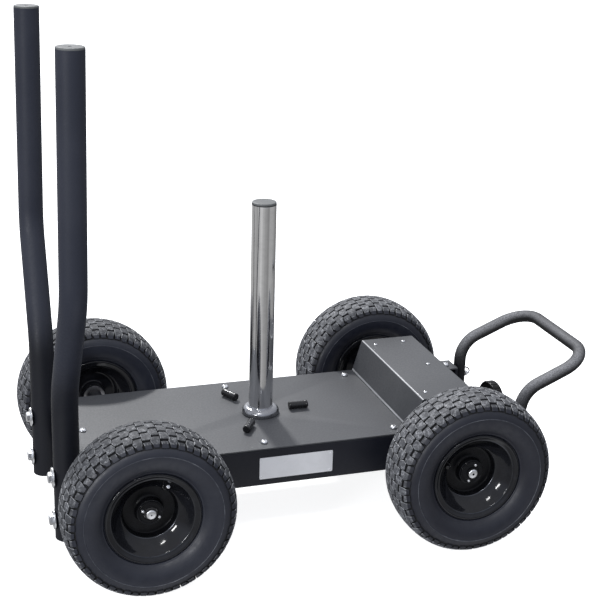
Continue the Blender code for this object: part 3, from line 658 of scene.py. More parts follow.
# ---- end plates
END_T = 0.006
tab = 0.118
rear_out = [(-RAIL_OUT, 0.070), (-tab, 0.070), (-tab, RAIL_LOW), (tab, RAIL_LOW), (tab, 0.070),
            (RAIL_OUT, 0.070), (RAIL_OUT, RAIL_TOP), (-RAIL_OUT, RAIL_TOP)]
rear_out = soften(rear_out, [0.008, 0.008, 0.012, 0.012, 0.008, 0.008, 0.002, 0.002], 5, True)
POLE_Y, POLE_BOLT_Z = (0.1481, 0.2629), (0.093, 0.182)
rear_loops = [rear_out] + [circle(s * POLE_Y[0], z, 0.0062, 24) for s in (-1, 1) for z in POLE_BOLT_Z]
rear = Shape()
rear.add(*sheet("rear", rear_loops, END_T, "YZ", DECK_X0 + END_T / 2, 0.0007, 2))
rear.add(*box_shape((DECK_X0 + END_T - 0.001, -0.128, RAIL_TOP - SHEET),
                    (-0.379 + SX, 0.128, RAIL_TOP), 0.0006))
for s in (-1, 1):
    for z in POLE_BOLT_Z:
        nut = [hexring(0.0095, 0.0), hexring(0.0095, 0.0096, 48, 0.0107, 0.0093),
               round_ring(0.0088, 0.0099), round_ring(0.0064, 0.0099), round_ring(0.0062, 0.0)]
        rear.add(*skin(nut, True), matrix=toward((1, 0, 0), (DECK_X0 + END_T, s * POLE_Y[0], z)))
        bead = [(DECK_X0 + END_T + 0.0006, s * POLE_Y[0] + 0.0104 * math.cos(TAU * k / 40),
                 z + 0.0104 * math.sin(TAU * k / 40)) for k in range(40)]
        rear.add(*tube(bead, 0.0012, 8, True))
rear.make("end_plate_rear_cut", [FRAME_SHADED_PAINT], "chassis", "frame_paint", ["end_plate_rear"], 35)

HX = (0.5048 + SX, 0.6619 + SX)
HY = (0.1528, 0.1508)
HZ = (0.1270, 0.2544, 0.3212)
PIN_Z, BRAKE_Z = 0.178, 0.168
front_out = soften([(-RAIL_OUT, RAIL_LOW), (RAIL_OUT, RAIL_LOW), (RAIL_OUT, RAIL_TOP),
                    (NOTCH_HALF, RAIL_TOP), (NOTCH_HALF, FRONT_LOW), (0.060, FRONT_LOW),
                    (0.048, BRAKE_Z + 0.023), (-0.048, BRAKE_Z + 0.023), (-0.060, FRONT_LOW),
                    (-NOTCH_HALF, FRONT_LOW), (-NOTCH_HALF, RAIL_TOP), (-RAIL_OUT, RAIL_TOP)],
                   0.002, 4, True)
front = Shape()
front.add(*sheet("front", [front_out, circle(-HY[0], PIN_Z, 0.0043, 24), circle(HY[0], PIN_Z, 0.0043, 24),
                           circle(0, BRAKE_Z, 0.0083, 32)],
                 END_T, "YZ", FRONT_X - END_T / 2, 0.0007, 2))
for s in (-1, 1):
    ys = sorted((s * 0.0363, s * 0.0403))
    front.add(*box_shape((0.415 + SX, ys[0], BRAKE_Z - 0.023),
                         (FRONT_X - END_T + 0.0003, ys[1], BRAKE_Z + 0.023), 0.0006))
nut = [round_ring(0.0083, 0.0), round_ring(0.0150, 0.0), round_ring(0.0160, 0.0010),
       round_ring(0.0160, 0.0123), round_ring(0.0083, 0.0123)]
front.add(*skin(nut, True), matrix=toward((1, 0, 0), (0.470 + SX, 0, BRAKE_Z)))
front.make("end_plate_front_cut", [FRAME_SHADED_PAINT], "chassis", "frame_paint", ["end_plate_front"], 35)

# ---- crossmember below the post
cross = Shape()
ringo = soften([(POST_X - 0.030, 0.1576), (POST_X + 0.030, 0.1576), (POST_X + 0.030, 0.1976),
                (POST_X - 0.030, 0.1976)], 0.005, 5, True)
ringi = soften([(POST_X - 0.027, 0.1606), (POST_X + 0.027, 0.1606), (POST_X + 0.027, 0.1946),
                (POST_X - 0.027, 0.1946)], 0.003, 5, True)
cross.add(*sheet("cross", [ringo, ringi], 0.343, "XZ", 0.0, 0.0004, 1))
cross.make("post_crossmember_tube", [FRAME_SHADED_PAINT], "chassis", "frame_paint", ["post_crossmember"], 35)

# ==================================================================== the post
POST_R, POST_TOP = 0.025, 0.661
post = Shape()
tip = POST_TOP - 0.0045
profile = ([(POST_R - 0.003, 0.1609), (POST_R - 0.0006, 0.1609), (POST_R, 0.1615)]
           + [(POST_R, 0.17 + (tip - 0.171) * k / 24) for k in range(25)]
           + [(POST_R - 0.0002, tip - 0.0003), (POST_R - 0.0008, tip), (POST_R - 0.0028, tip),
              (POST_R - 0.003, tip - 0.001)])
post.add(*lathe(profile, 96, 0.0, True), matrix=Matrix.Translation((POST_X, 0, 0)))
post.make("weight_post_tube", [CHROME], "chassis", "chrome", ["weight_post"], 40)

collar = soften([(POST_R + 0.0003, 0.0160), (0.0300, 0.0160), (0.0350, 0.0138), (0.0390, 0.0080),
                 (0.0392, 0.0003), (POST_R + 0.0003, 0.0003)],
                [0.0, 0.004, 0.004, 0.004, 0.0012, 0.0], 7)
Shape().add(*lathe(collar, 96, 0.0, True), matrix=Matrix.Translation((POST_X, 0, DECK_TOP))).make(
    "post_collar_turned", [COLLAR], "chassis", "chrome", ["post_collar"], 40)

cap = soften([(0.0, 0.0), (0.0228, 0.0), (0.0247, -0.0010), (0.0247, -0.0042), (0.0217, -0.0042),
              (0.0214, -0.022), (0.0, -0.022)], [0.0, 0.002, 0.001, 0.0003, 0.0003, 0.001, 0.0], 5)
# a near-black ring under the cap's flange stands for the gap: painted shade
seam_ring = [(0.0236, -0.0042), (0.0250, -0.0043), (0.0252, -0.0046), (0.0252, -0.0058), (0.0250, -0.0061),
             (0.0236, -0.0062)]
Shape().add(*lathe(cap, 80), matrix=Matrix.Translation((POST_X, 0, POST_TOP))).add(
    *lathe(seam_ring, 80, 0.0, True), 1, Matrix.Translation((POST_X, 0, POST_TOP))).make(
    "post_cap_plug", [CAP, SOCKET_SHADE], "chassis", "cap_grey", ["post_cap"], 40)

for k, (rx, ry) in enumerate(((0.0609, -0.0010), (-0.0638, 0.0879), (-0.0695, -0.0785))):
    at = Vector((rx + SX, ry, DECK_TOP + 0.0003 + 0.008))
    way = Vector((rx + SX - POST_X, ry, 0)).normalized()
    prof = soften([(0.0, 0.0205), (0.0030, 0.0205), (0.0056, 0.0209), (0.0083, 0.0196), (0.0083, 0.0160),
                   (0.0076, 0.0152), (0.0078, -0.0166), (0.0083, -0.0172), (0.0083, -0.0196),
                   (0.0056, -0.0209), (0.0030, -0.0205), (0.0, -0.0205)],
                  [0.0, 0.0006, 0.001, 0.0016, 0.0006, 0.0006, 0.0004, 0.0005, 0.0016, 0.001, 0.0006, 0.0], 4)
    rest = Shape().add(*lathe(prof, 48), matrix=toward(way, at))
    rest.make("plate_rest_%d_rubber" % (k + 1), [SOFT], "chassis", "rest_rubber",
              ["plate_rest_%d" % (k + 1)], 40)


# ---- screws
def button_screw(r, h, socket, at, direction=(0, 0, 1), shank=0.016, washer=None):
    """Domed head with a hexagon socket."""
    s = Shape()
    rings = [round_ring(r * 0.58, -shank), round_ring(r * 0.58, 0.0003), round_ring(r * 0.98, 0.0003),
             round_ring(r, 0.0006 + 0.04 * h), round_ring(r * 0.99, 0.22 * h + 0.0005)]
    for k in range(1, 7):
        a = k / 6 * 1.05
        rings.append(round_ring(r * math.cos(a * 0.93), 0.22 * h + 0.78 * h * math.sin(a) / math.sin(1.05)))
    top = rings[-1][0][2]
    rings.append(hexring(socket, top, 48))
    rings.append(hexring(socket, top - h * 0.6, 48))
    mats = [0] * (48 * (len(rings) - 2)) + [1] * 48 + [1] * 48
    rings.append([(0, 0, top - h * 0.68)])
    v, f = skin([[(0, 0, -shank)]] + rings)
    marks = [0] * len(f)
    # the socket faces take the near-black colour: painted shade
    marks[-96:] = [1] * 96
    s.add(v, f, marks, matrix=toward(direction, at))
    return s


for k, (x, y) in enumerate(SCREWS):
    s = button_screw(0.0072, 0.0056, 0.0024, (x, y, DECK_TOP))
    s.make("deck_screw_%d_head" % (k + 1), [ZINC, SOCKET_SHADE], "chassis", "zinc",
           ["deck_screw_%d" % (k + 1)], 40)

for k, (x, y) in enumerate(((0.289, 0.142), (0.289, -0.142), (0.357, 0.145), (0.357, -0.145),
                            (0.357, 0.003), (0.289, 0.003))):
    if k == 5:
        continue
    s = button_screw(0.0042, 0.0024, 0.0013, (x + SX, y, CT), shank=0.003)
    s.make("cover_screw_%d" % (k + 1), [ZINC, SOCKET_SHADE], "chassis", "zinc", angle=40)

# ---- name plate, left bare
plate_o = soften([(-0.0755 + SX, 0.1383), (0.0783 + SX, 0.1383), (0.0783 + SX, 0.1845),
                  (-0.0755 + SX, 0.1845)], 0.0025, 4, True)
pl = Shape().add(*sheet("name", [plate_o], 0.0015, "XZ", -(RAIL_OUT + 0.0003 + 0.00075), 0.0004, 2))
for x in (-0.0705, 0.0733):
    for z in (0.1433, 0.1795):
        rv = lathe([(0.0, 0.0009), (0.0010, 0.0008), (0.0017, 0.0004), (0.0019, -0.0003)], 24)
        pl.add(*rv, matrix=toward((0, -1, 0), (x + SX, -(RAIL_OUT + 0.0018), z)))
pl.make("name_plate_blank", [PLATE], "chassis", "brushed_plate", ["name_plate"], 40)

# ================================================================= push poles
POLE_R = 0.0254
POLE_X = -0.427 - 0.0003 - POLE_R + SX
POLE_TOP_X = -0.4430 + SX
POLE_Z = (0.0527, 0.3507, 0.5699, 1.0150)
for label, side in SIDES:
    line = arc_line([(POLE_X, side * POLE_Y[0], POLE_Z[0]), (POLE_X, side * POLE_Y[0], POLE_Z[1]),
                     (POLE_X + 0.0035, side * POLE_Y[1], POLE_Z[2]),
                     (POLE_TOP_X, side * POLE_Y[1], POLE_Z[3])], (0.15, 0.15), 18)
    line = fill_line(line, 0.03)
    n = len(line)
    v, f = tube(line, POLE_R, 64, False, False)
    pole = Shape()
    # the tube's lower mouth is rolled in and its upper mouth cut square
    first, last = v[:64], v[-64:]
    def inward(ring, centre, r, shift):
        return [centre + (p - centre).normalized() * r + shift for p in ring]
    c0, c1 = line[0], line[-1]
    d0, d1 = (line[0] - line[1]).normalized(), (line[-1] - line[-2]).normalized()
    low = [inward(first, c0, POLE_R - 0.0030, -d0 * 0.03), inward(first, c0, POLE_R - 0.0028, d0 * 0.0002),
           inward(first, c0, POLE_R - 0.0014, d0 * 0.0006), inward(first, c0, POLE_R - 0.0004, d0 * 0.0002)]
    high = [inward(last, c1, POLE_R - 0.0004, d1 * 0.0003), inward(last, c1, POLE_R - 0.0030, d1 * 0.0003),
            inward(last, c1, POLE_R - 0.0030, -d1 * 0.03)]
    rings = low + [v[i * 64:(i + 1) * 64] for i in range(n)] + high
    pole.add(*skin(rings))
    pole.make("push_pole_%s_tube" % label, [POLE], "chassis", "pole_paint", ["push_pole_" + label], 40)
    prof = soften([(0.0, 0.0018), (0.0022, 0.0018), (0.0030, 0.0040), (0.0238, 0.0042),
                   (0.0252, 0.0030), (0.0252, 0.0003), (0.0220, 0.0003), (0.0216, -0.020),
                   (0.0, -0.020)], [0.0, 0.0004, 0.0008, 0.002, 0.0012, 0.0002, 0.0, 0.001, 0.0], 4)
    Shape().add(*lathe(prof, 72), matrix=toward(d1, c1)).make(
        "pole_cap_%s_plug" % label, [CAP], "chassis", "cap_grey", ["pole_cap_" + label], 40)
    for k, bz in enumerate(POLE_BOLT_Z):
        b = Shape()
        seat = POLE_X - POLE_R - 0.0003
        wash = soften([(0.0064, 0.0), (0.0198, 0.0), (0.0198, 0.0030), (0.0064, 0.0030)],
                      [0, 0.0005, 0.0009, 0], 3)
        m = toward((-1, 0, 0), (seat, side * POLE_Y[0], bz))
        b.add(*lathe(wash, 64, 0.0, True), matrix=m)
        head = [round_ring(0.0060, -0.0650), round_ring(0.0060, 0.0031), round_ring(0.0092, 0.0031),
                round_ring(0.0094, 0.0036), hexring(0.0095, 0.0038), hexring(0.0095, 0.0106, 48, None, 0.0088),
                round_ring(0.0086, 0.0110), round_ring(0.0070, 0.0109), [(0, 0, 0.0108)]]
        b.add(*skin([[(0, 0, -0.0650)]] + head), matrix=m @ Matrix.Rotation(0.35 + 0.9 * k + side, 4, 'Z'))
        name = "pole_bolt_%s_%s" % (label, ("lower", "upper")[k])
        b.make(name + "_set", [ZINC], "chassis", "zinc", [name], 30)

# ================================================================= tow handle
HR = 0.01345
line = arc_line([(HX[0], -HY[0], HZ[0]), (HX[0], -HY[0], HZ[1]), (HX[1], -HY[1], HZ[2]),
                 (HX[1], HY[1], HZ[2]), (HX[0], HY[0], HZ[1]), (HX[0], HY[0], HZ[0])],
                (0.0621, 0.065, 0.065, 0.0621), 16)
line = fill_line(line, 0.02)
Shape().add(*tube(line, HR, 40)).make("tow_handle_tube", [HANDLE], "chassis", "handle_paint",
                                      ["tow_handle"], 40)
for label, side in SIDES:
    y = side * HY[0]
    cup = soften([(0.0, HZ[0] - 0.0003), (HR + 0.0003, HZ[0] - 0.0003), (HR + 0.0003, 0.1555),
                  (0.0162, 0.1555), (0.0162, 0.1238), (0.0, 0.1238)],
                 [0, 0.0005, 0.0004, 0.0009, 0.0015, 0], 4)
    c = Shape().add(*lathe(cup, 56), matrix=Matrix.Translation((HX[0], y, 0)))
    for zz in (0.1300, 0.1500):
        run = [(FRONT_X + 0.0006, y + k * 0.0011, zz) for k in range(-5, 6)]
        c.add(*tube(run, 0.0016, 8))
    c.make("handle_socket_%s_cup" % label, [FRAME_SHADED_PAINT], "chassis", "frame_paint",
           ["handle_socket_" + label], 40)
    pin = Shape()
    m = toward((1, 0, 0), (HX[0], y, PIN_Z))
    prof = soften([(0.0, 0.0255), (0.0026, 0.0252), (0.0028, 0.0196), (0.0060, 0.0192),
                   (0.0062, 0.0142), (0.0041, 0.0139), (0.0040, -0.0335), (0.0027, -0.0350),
                   (0.0, -0.0350)], [0, 0.0008, 0.0005, 0.001, 0.0008, 0, 0.001, 0.001, 0], 4)
    pin.add(*lathe(prof, 40), matrix=m)
    # the wire loop hangs over to the outer side
    over = Vector((0.0, side * math.sin(0.96), math.cos(0.96)))
    ring_c = Vector((HX[0] + 0.0207, y, PIN_Z)) + over * 0.0080
    loop = [ring_c + Vector((0.0075 * math.sin(TAU * k / 40), 0, 0)) + over * (0.0077 * math.cos(TAU * k / 40))
            for k in range(40)]
    pin.add(*tube(loop, 0.0015, 10, True), 1)
    pin.make("pull_pin_%s_looped" % label, [ZINC, WIRE], "pull_pin_" + label, "zinc", ["pull_pin_" + label], 40)

# ====================================================================== brake
KX, KR, KT = 0.504 + SX, 0.0485, 0.022
knob = Shape()
prof = soften([(0.0, KT - 0.0015), (0.0120, KT - 0.0015), (0.0150, KT), (KR - 0.0035, KT),
               (KR, KT - 0.0035), (KR, 0.0022), (KR - 0.0022, 0.0), (0.0140, 0.0),
               (0.0140, -0.0075), (0.0080, -0.0075), (0.0080, -0.0745), (0.0065, -0.0755),
               (0.0, -0.0755)], [0, 0.0008, 0.0012, 0.003, 0.003, 0.0016, 0.0016, 0.001, 0.001, 0, 0.0005, 0.0005, 0], 5)
rings = []
STEPS = 240
for r, h in prof:
    if r < 1e-7:
        rings.append([(0, 0, h)])
        continue
    ring = []
    for k in range(STEPS):
        a = TAU * k / STEPS
        cutin = 0.0
        if 0.0015 < h < KT - 0.0015 and r > KR - 0.004:
            cutin = 0.0011 * max(0.0, math.cos(24 * a)) ** 3
        ring.append(((r - cutin) * math.cos(a), (r - cutin) * math.sin(a), h))
    rings.append(ring)
knob.add(*skin(rings), matrix=toward((1, 0, 0), (KX, 0, BRAKE_Z)))
knob.make("brake_knob_wheel", [KNOB], "brake_knob", "knob_black", ["brake_knob"], 38)

DR = 0.080
drum = soften([(DR, 0.028), (DR, -0.028), (DR - 0.006, -0.028), (DR - 0.0068, -0.003), (0.018, -0.003),
               (0.0175, -0.020), (0.0103, -0.020), (0.0103, 0.020), (0.0175, 0.020), (0.018, 0.003),
               (DR - 0.0068, 0.003), (DR - 0.006, 0.028)],
              [0.001, 0.001, 0.001, 0.004, 0.004, 0.001, 0.0, 0.0, 0.001, 0.004, 0.004, 0.001], 4, True)
Shape().add(*lathe(drum, 96, 0.0, True), matrix=toward((0, 1, 0), (AX + SX, 0, WHEEL_R))).make(
    "brake_drum_cast", [IRON], "front_axle", "cast_iron", ["brake_drum"], 40)

# ==================================================================== wheels
AXR, AXEND = 0.010, WHEEL_Y + 0.016
for which, sx, body in (("rear", -1, "chassis"), ("front", 1, "front_axle")):
    e = AXEND
    prof = [(0.0, e - 0.028), (0.0063, e - 0.027), (0.0063, e), (AXR - 0.0007, e), (AXR, e - 0.0007),
            (AXR, -e + 0.0007), (AXR - 0.0007, -e), (0.0063, -e), (0.0063, -e + 0.027), (0.0, -e + 0.028)]
    Shape().add(*lathe(prof, 48), matrix=toward((0, 1, 0), (sx * AX + SX, 0, WHEEL_R))).make(
        "axle_%s_bar" % which, [TURNED], body, "turned_steel", ["axle_" + which], 40)

for label, side in SIDES:
    base, tip_y = RAIL_OUT + 0.0003, WHEEL_Y - 0.0245
    hs = soften([(0.0103, tip_y - base), (0.0160, tip_y - base), (0.0160, 0.0070), (0.0300, 0.0062),
                 (0.0300, 0.0), (0.0103, 0.0)], [0, 0.0014, 0.004, 0.0015, 0, 0], 5)
    h = Shape().add(*lathe(hs, 64, 0.0, True), matrix=toward((0, side, 0), (AX + SX, side * base, WHEEL_R)))
    for k in (-1, 1):
        h.add(*skin([hexring(0.0050, 0.0, 48, 0.0057), hexring(0.0050, 0.0046, 48, 0.0057, 0.0048),
                     round_ring(0.0046, 0.0049), [(0, 0, 0.0049)]]), 1,
              matrix=toward((0, side, 0), (AX + SX + k * 0.0228, side * (base + 0.0060), WHEEL_R)))
    h.make("front_bearing_%s_housing" % label, [IRON, ZINC], "chassis", "cast_iron",
           ["front_bearing_" + label], 40)

# ---- tyre section, from the middle of the tread to the bead: (offset, radius)
TOP = [(0.0, 0.1650), (0.0100, 0.16490), (0.0180, 0.1643), (0.0260, 0.1634), (0.0340, 0.1620),
       (0.0400, 0.1604), (0.0450, 0.1583), (0.0492, 0.1554), (0.0525, 0.1516), (0.0548, 0.1475),
       (0.0565, 0.1435), (0.0577, 0.1400)]
BASE = [(0.0, 0.1600), (0.0180, 0.1594), (0.0330, 0.1574), (0.0410, 0.1549), (0.0462, 0.1516),
        (0.0496, 0.1484), (0.0524, 0.1456), (0.0548, 0.1430), (0.0566, 0.1404), (0.0579, 0.1376),
        (0.0589, 0.1348), (0.0595, 0.1325), (0.0596, 0.1319), (0.0605, 0.1316), (0.0606, 0.1307),
        (0.0598, 0.1303), (0.0598, 0.1280), (0.0597, 0.1240), (0.0590, 0.1185), (0.0574, 0.1125),
        (0.0551, 0.1070), (0.0522, 0.1022), (0.0494, 0.0988), (0.0474, 0.0968), (0.0462, 0.0954),
        (0.0458, 0.0944), (0.0452, 0.0936), (0.0440, 0.0931), (0.0424, 0.0929), (0.0419, 0.0915),
        (0.0416, 0.0882), (0.0408, 0.0857), (0.0380, 0.0851), (0.0290, 0.0849)]
LINER = [(0.0340, 0.0895), (0.0440, 0.1020), (0.0520, 0.1180), (0.0530, 0.1320), (0.0460, 0.1440),
         (0.0300, 0.1520), (0.0, 0.1540)]
TOPS = np.array(TOP)
ARC = np.concatenate([[0.0], np.cumsum(np.hypot(*np.diff(TOPS, axis=0).T))])


def tread_at(s, depth=0.0):
    """(offset, radius) on the tread's outer surface, s metres across from its middle."""
    a = min(abs(s), ARC[-1] - 1e-6)
    w, r = np.interp(a, ARC, TOPS[:, 0]), np.interp(a, ARC, TOPS[:, 1])
    w1, r1 = np.interp(a - 0.003, ARC, TOPS[:, 0]), np.interp(a - 0.003, ARC, TOPS[:, 1])
    w2, r2 = np.interp(a + 0.003, ARC, TOPS[:, 0]), np.interp(a + 0.003, ARC, TOPS[:, 1])
    t = np.array([w2 - w1, r2 - r1])
    t /= np.linalg.norm(t)
    n = np.array([-t[1], t[0]])
    return math.copysign(1.0, s) * (w - n[0] * depth), r - n[1] * depth


def around(theta, w, r):
    return (r * math.cos(theta), r * math.sin(theta), w)


LANES = (-1.0, -0.35, 0.35, 1.0)


PAIRS = 30                        # pairs of rows round the tyre
ROW = TAU * 0.165 / (2 * PAIRS)   # one row's length round the tread
GAP_ROUND = 0.0011
LIT_TO = 0.0538                   # the ends beyond this face sideways
ZIG = 0.0022                      # how far each block's pointed side reaches
PITCH, MIDDLE = 0.0284, 0.0039    # blocks across the tread
EVEN_CUTS = (-0.0620, -0.0387, -0.0103, 0.0181, 0.0447, 0.0620)
ODD_CUTS = (-0.0603, -0.0245, 0.0041, 0.0328, 0.0603)


def zigzag(s):
    """1 at the middle of a block of the even rows, -1 at their grooves."""
    return 1.0 - 4.0 * abs(((s - MIDDLE) / PITCH + 0.5) % 1.0 - 0.5)


def lug(shape, theta, s0, s1, flip, seed):
    """One block from s0 to s1 across. One side is pointed, the other has a slit."""
    cs = (s0 + s1) / 2.0
    stations = [s0, s1]
    for k in range(-6, 7):
        extreme = MIDDLE + 0.5 * PITCH * k
        if s0 + 0.002 < extreme < s1 - 0.002:
            stations.append(extreme)
    whole = s1 - s0 > 0.020
    if whole:
        stations += [cs - 0.0012, cs + 0.0012]
    stations += [q for q in (-LIT_TO, LIT_TO) if s0 + 0.001 < q < s1 - 0.001]
    stations.sort()
    filled = [stations[0]]
    for a, b in zip(stations, stations[1:]):
        steps = max(1, int(round((b - a) / 0.0042)))
        filled += [a + (b - a) * (q + 1) / steps for q in range(steps)]
    grid = []
    for n, s in enumerate(filled):
        edge_gap = GAP_ROUND + 0.0032 * min(1.0, max(0.0, (abs(s) - 0.046) / 0.008))
        flat = ROW / 2 - edge_gap / 2
        tri = zigzag(s) * (1.0 if flip else -1.0)
        point = flat + ZIG * tri
        slit = 0.0030 if whole and abs(s - cs) < 0.0011 else 0.0
        plain = flat - slit
        lo, hi = (-point, plain) if flip else (-plain, point)
        line = []
        for v in LANES:
            t = lo + (hi - lo) * (v + 1.0) / 2.0
            corner = 0.0005 * (abs(v) > 0.9) * (1.0 if n == 0 else -1.0 if n == len(filled) - 1 else 0.0)
            line.append((s + corner, t))
        grid.append(line)
    rows_n, cols = len(filled), len(LANES)
    edge = ([(0, i) for i in range(cols)] + [(j, cols - 1) for j in range(1, rows_n)]
            + [(rows_n - 1, i) for i in range(cols - 2, -1, -1)]
            + [(j, 0) for j in range(rows_n - 2, 0, -1)])

    def point3(s, t, depth):
        w, r = tread_at(s, depth)
        return around(theta + t / 0.165, w, r)

    def pulled(j, i, d, e):
        s, t = grid[j][i]
        s += d * ((j == 0) - (j == rows_n - 1))
        t += e * ((i == 0) - (i == cols - 1))
        return s, t

    verts = []
    for j in range(rows_n):
        for i in range(cols):
            s, t = pulled(j, i, 0.0005, 0.0009) if (j, i) in edge else grid[j][i]
            crown = 0.00006 * math.sin(seed * 1.7 + j * 1.3 + i * 2.1)
            verts.append(point3(s, t, 0.0001 + crown))
    faces, marks = [], []
    for j in range(rows_n - 1):
        for i in range(cols - 1):
            k = j * cols + i
            faces.append((k, k + 1, k + cols + 1, k + cols))
            middle = abs(filled[j] + filled[j + 1]) / 2.0
            marks.append(2 if middle > LIT_TO else 0)
    ring_top = [j * cols + i for j, i in edge]
    base = len(verts)
    for j, i in edge:
        verts.append(point3(*grid[j][i], 0.0010))
    foot = len(verts)
    for j, i in edge:
        verts.append(point3(*pulled(j, i, -0.0004, -0.0002), 0.0066))
    m = len(edge)
    for k in range(m):
        q = (k + 1) % m
        faces.append((ring_top[q], ring_top[k], base + k, base + q))
        (ja, ia), (jb, ib) = edge[k], edge[q]
        across = ia == ib and ia in (0, cols - 1)
        outer = abs(filled[ja] + filled[jb]) / 2.0 > LIT_TO
        # chamfers along the row gaps take the lighter edge rubber: painted highlight
        marks.append(2 if outer else 3 if across else 0)
        # the block walls and floor take the darker wall rubber: painted shade
        faces.append((base + q, base + k, foot + k, foot + q))
        marks.append(1)
    faces.append(tuple(foot + k for k in range(m)))
    marks.append(1)
    first = [Vector(verts[i]) for i in faces[4]]
    normal = (first[1] - first[0]).cross(first[2] - first[0])
    if normal.dot(Vector((first[0].x, first[0].y, 0.0))) < 0:
        faces = [tuple(reversed(f)) for f in faces]
    shape.add(verts, faces, marks)


def build_tyre():
    t = Shape()
    half = soften([(w, r) for w, r in BASE], 0.0015, 2)
    prof = [(r, w) for w, r in half]
    mirror = [(r, -w) for r, w in reversed(prof)]
    lin = [(r, w) for w, r in LINER]
    lin_m = [(r, -w) for r, w in lin]
    loop = mirror[:-1] + prof + lin + list(reversed(lin_m[:-1]))
    v, f = lathe(loop, 192, 0.0, True)
    f = [tuple(reversed(face)) for face in f]
    marks = []
    for face in f:
        c = sum((v[i] for i in face), Vector()) / len(face)
        r = math.hypot(c.x, c.y)
        # mark 4 gives the thin sidewall ridge the lighter ridge rubber: painted highlight
        marks.append(1 if r > 0.1400 and abs(c.z) < 0.0535 else
                     4 if 0.1300 < r < 0.1322 and abs(c.z) > 0.0600 else 2)
    t.add(v, f, marks)
    groove = 0.0052
    for row in range(2 * PAIRS):
        th = row * TAU / (2 * PAIRS) + 0.002 * math.sin(row * 2.4)
        cuts = ODD_CUTS if row % 2 else EVEN_CUTS
        for n, (a, b) in enumerate(zip(cuts, cuts[1:])):
            lo = a + (groove / 2 if n else 0.0)
            hi = b - (groove / 2 if n < len(cuts) - 2 else 0.0)
            lug(t, th, lo, hi, row % 2 == 0, row * 5 + n)
    return t


TYRE = build_tyre()

RIM_HALF = [(0.0, 0.0580), (0.0150, 0.0580), (0.0246, 0.0752), (0.0290, 0.0814), (0.0394, 0.0842),
            (0.0415, 0.0862), (0.0418, 0.0880), (0.0424, 0.0899), (0.0438, 0.0908), (0.0452, 0.0906),
            (0.0462, 0.0896), (0.0466, 0.0880), (0.0463, 0.0864), (0.0453, 0.0848), (0.0436, 0.0822),
            (0.0427, 0.0802), (0.0423, 0.0790), (0.0414, 0.0778), (0.0388, 0.0758), (0.0343, 0.0724),
            (0.0303, 0.0691), (0.0266, 0.0657), (0.0233, 0.0623), (0.0203, 0.0590), (0.0181, 0.0563),
            (0.0169, 0.0543), (0.0155, 0.0526), (0.0130, 0.0517), (0.0045, 0.0508), (0.0020, 0.0494),
            (0.0013, 0.0465), (0.0013, 0.0300), (0.0020, 0.0275), (0.0040, 0.0256)]


def build_rim(stem_angle, metal_cap):
    s = Shape()
    half = soften(RIM_HALF, 0.0016, 4)
    up = [(r, w) for w, r in half]
    down = [(r, -w) for r, w in up]
    hub = soften([(0.0256, 0.0040), (0.0253, 0.0180), (0.0235, 0.0180), (0.0235, -0.0240), (0.0253, -0.0240),
                  (0.0256, -0.0040)], [0, 0.0008, 0.0004, 0.0004, 0.0008, 0], 3)
    loop = up + hub[1:-1] + list(reversed(down))[:-1]
    v, f = lathe(loop, 144, 0.0, True)
    marks = []
    for face in f:
        c = sum((Vector(v[i]) for i in face), Vector()) / len(face)
        r = math.hypot(c.x, c.y)
        # mark 3 paints highlight rings at the lip and the opening's edge; mark 4 paints shade in the deep well
        marks.append(3 if (0.0784 < r < 0.0799 and c.z > 0.0410) or (0.0527 < r < 0.0537 and c.z > 0.0140) else
                     4 if r < 0.0522 and 0.0 < c.z < 0.0150 else 0)
    s.add(v, f, marks)
    # valve stem: rubber boot and threaded tip, leaning outwards from the cone
    a = math.radians(stem_angle)
    at = Vector((0.0568 * math.cos(a), 0.0568 * math.sin(a), 0.0185))
    d = Vector((0.55 * math.cos(a), 0.55 * math.sin(a), 1.0)).normalized()
    m = toward(d, at)
    boot = soften([(0.0, -0.0045), (0.0062, -0.0045), (0.0062, 0.0010), (0.0042, 0.0030), (0.0036, 0.0075),
                   (0.0, 0.0075)], [0, 0.001, 0.001, 0.001, 0.0005, 0], 3)
    s.add(*lathe(boot, 32), 1, matrix=m)
    capp = soften([(0.0, 0.0074), (0.0026, 0.0074), (0.0026, 0.0080), (0.0038, 0.0082), (0.0038, 0.0150),
                   (0.0030, 0.0160), (0.0, 0.0161)], [0, 0, 0.0003, 0.0004, 0.0008, 0.0006, 0], 3)
    v, f = lathe(capp, 36)
    v = [Vector((p.x * (1 + 0.05 * ((i % 36) % 2)), p.y * (1 + 0.05 * ((i % 36) % 2)), p.z))
         for i, p in enumerate(v)]
    s.add(v, f, 2 if metal_cap else 1, matrix=m)
    return s


def wheel_matrix(x, side, spin):
    """Local Z outwards, local X turned by spin degrees from the frame's +X towards up."""
    out = Vector((0, side, 0))
    a = math.radians(spin)
    lx = Vector((math.cos(a), 0, math.sin(a)))
    ly = out.cross(lx)
    m = Matrix((lx, ly, out)).transposed().to_4x4()
    return Matrix.Translation((x, side * WHEEL_Y, WHEEL_R)) @ m


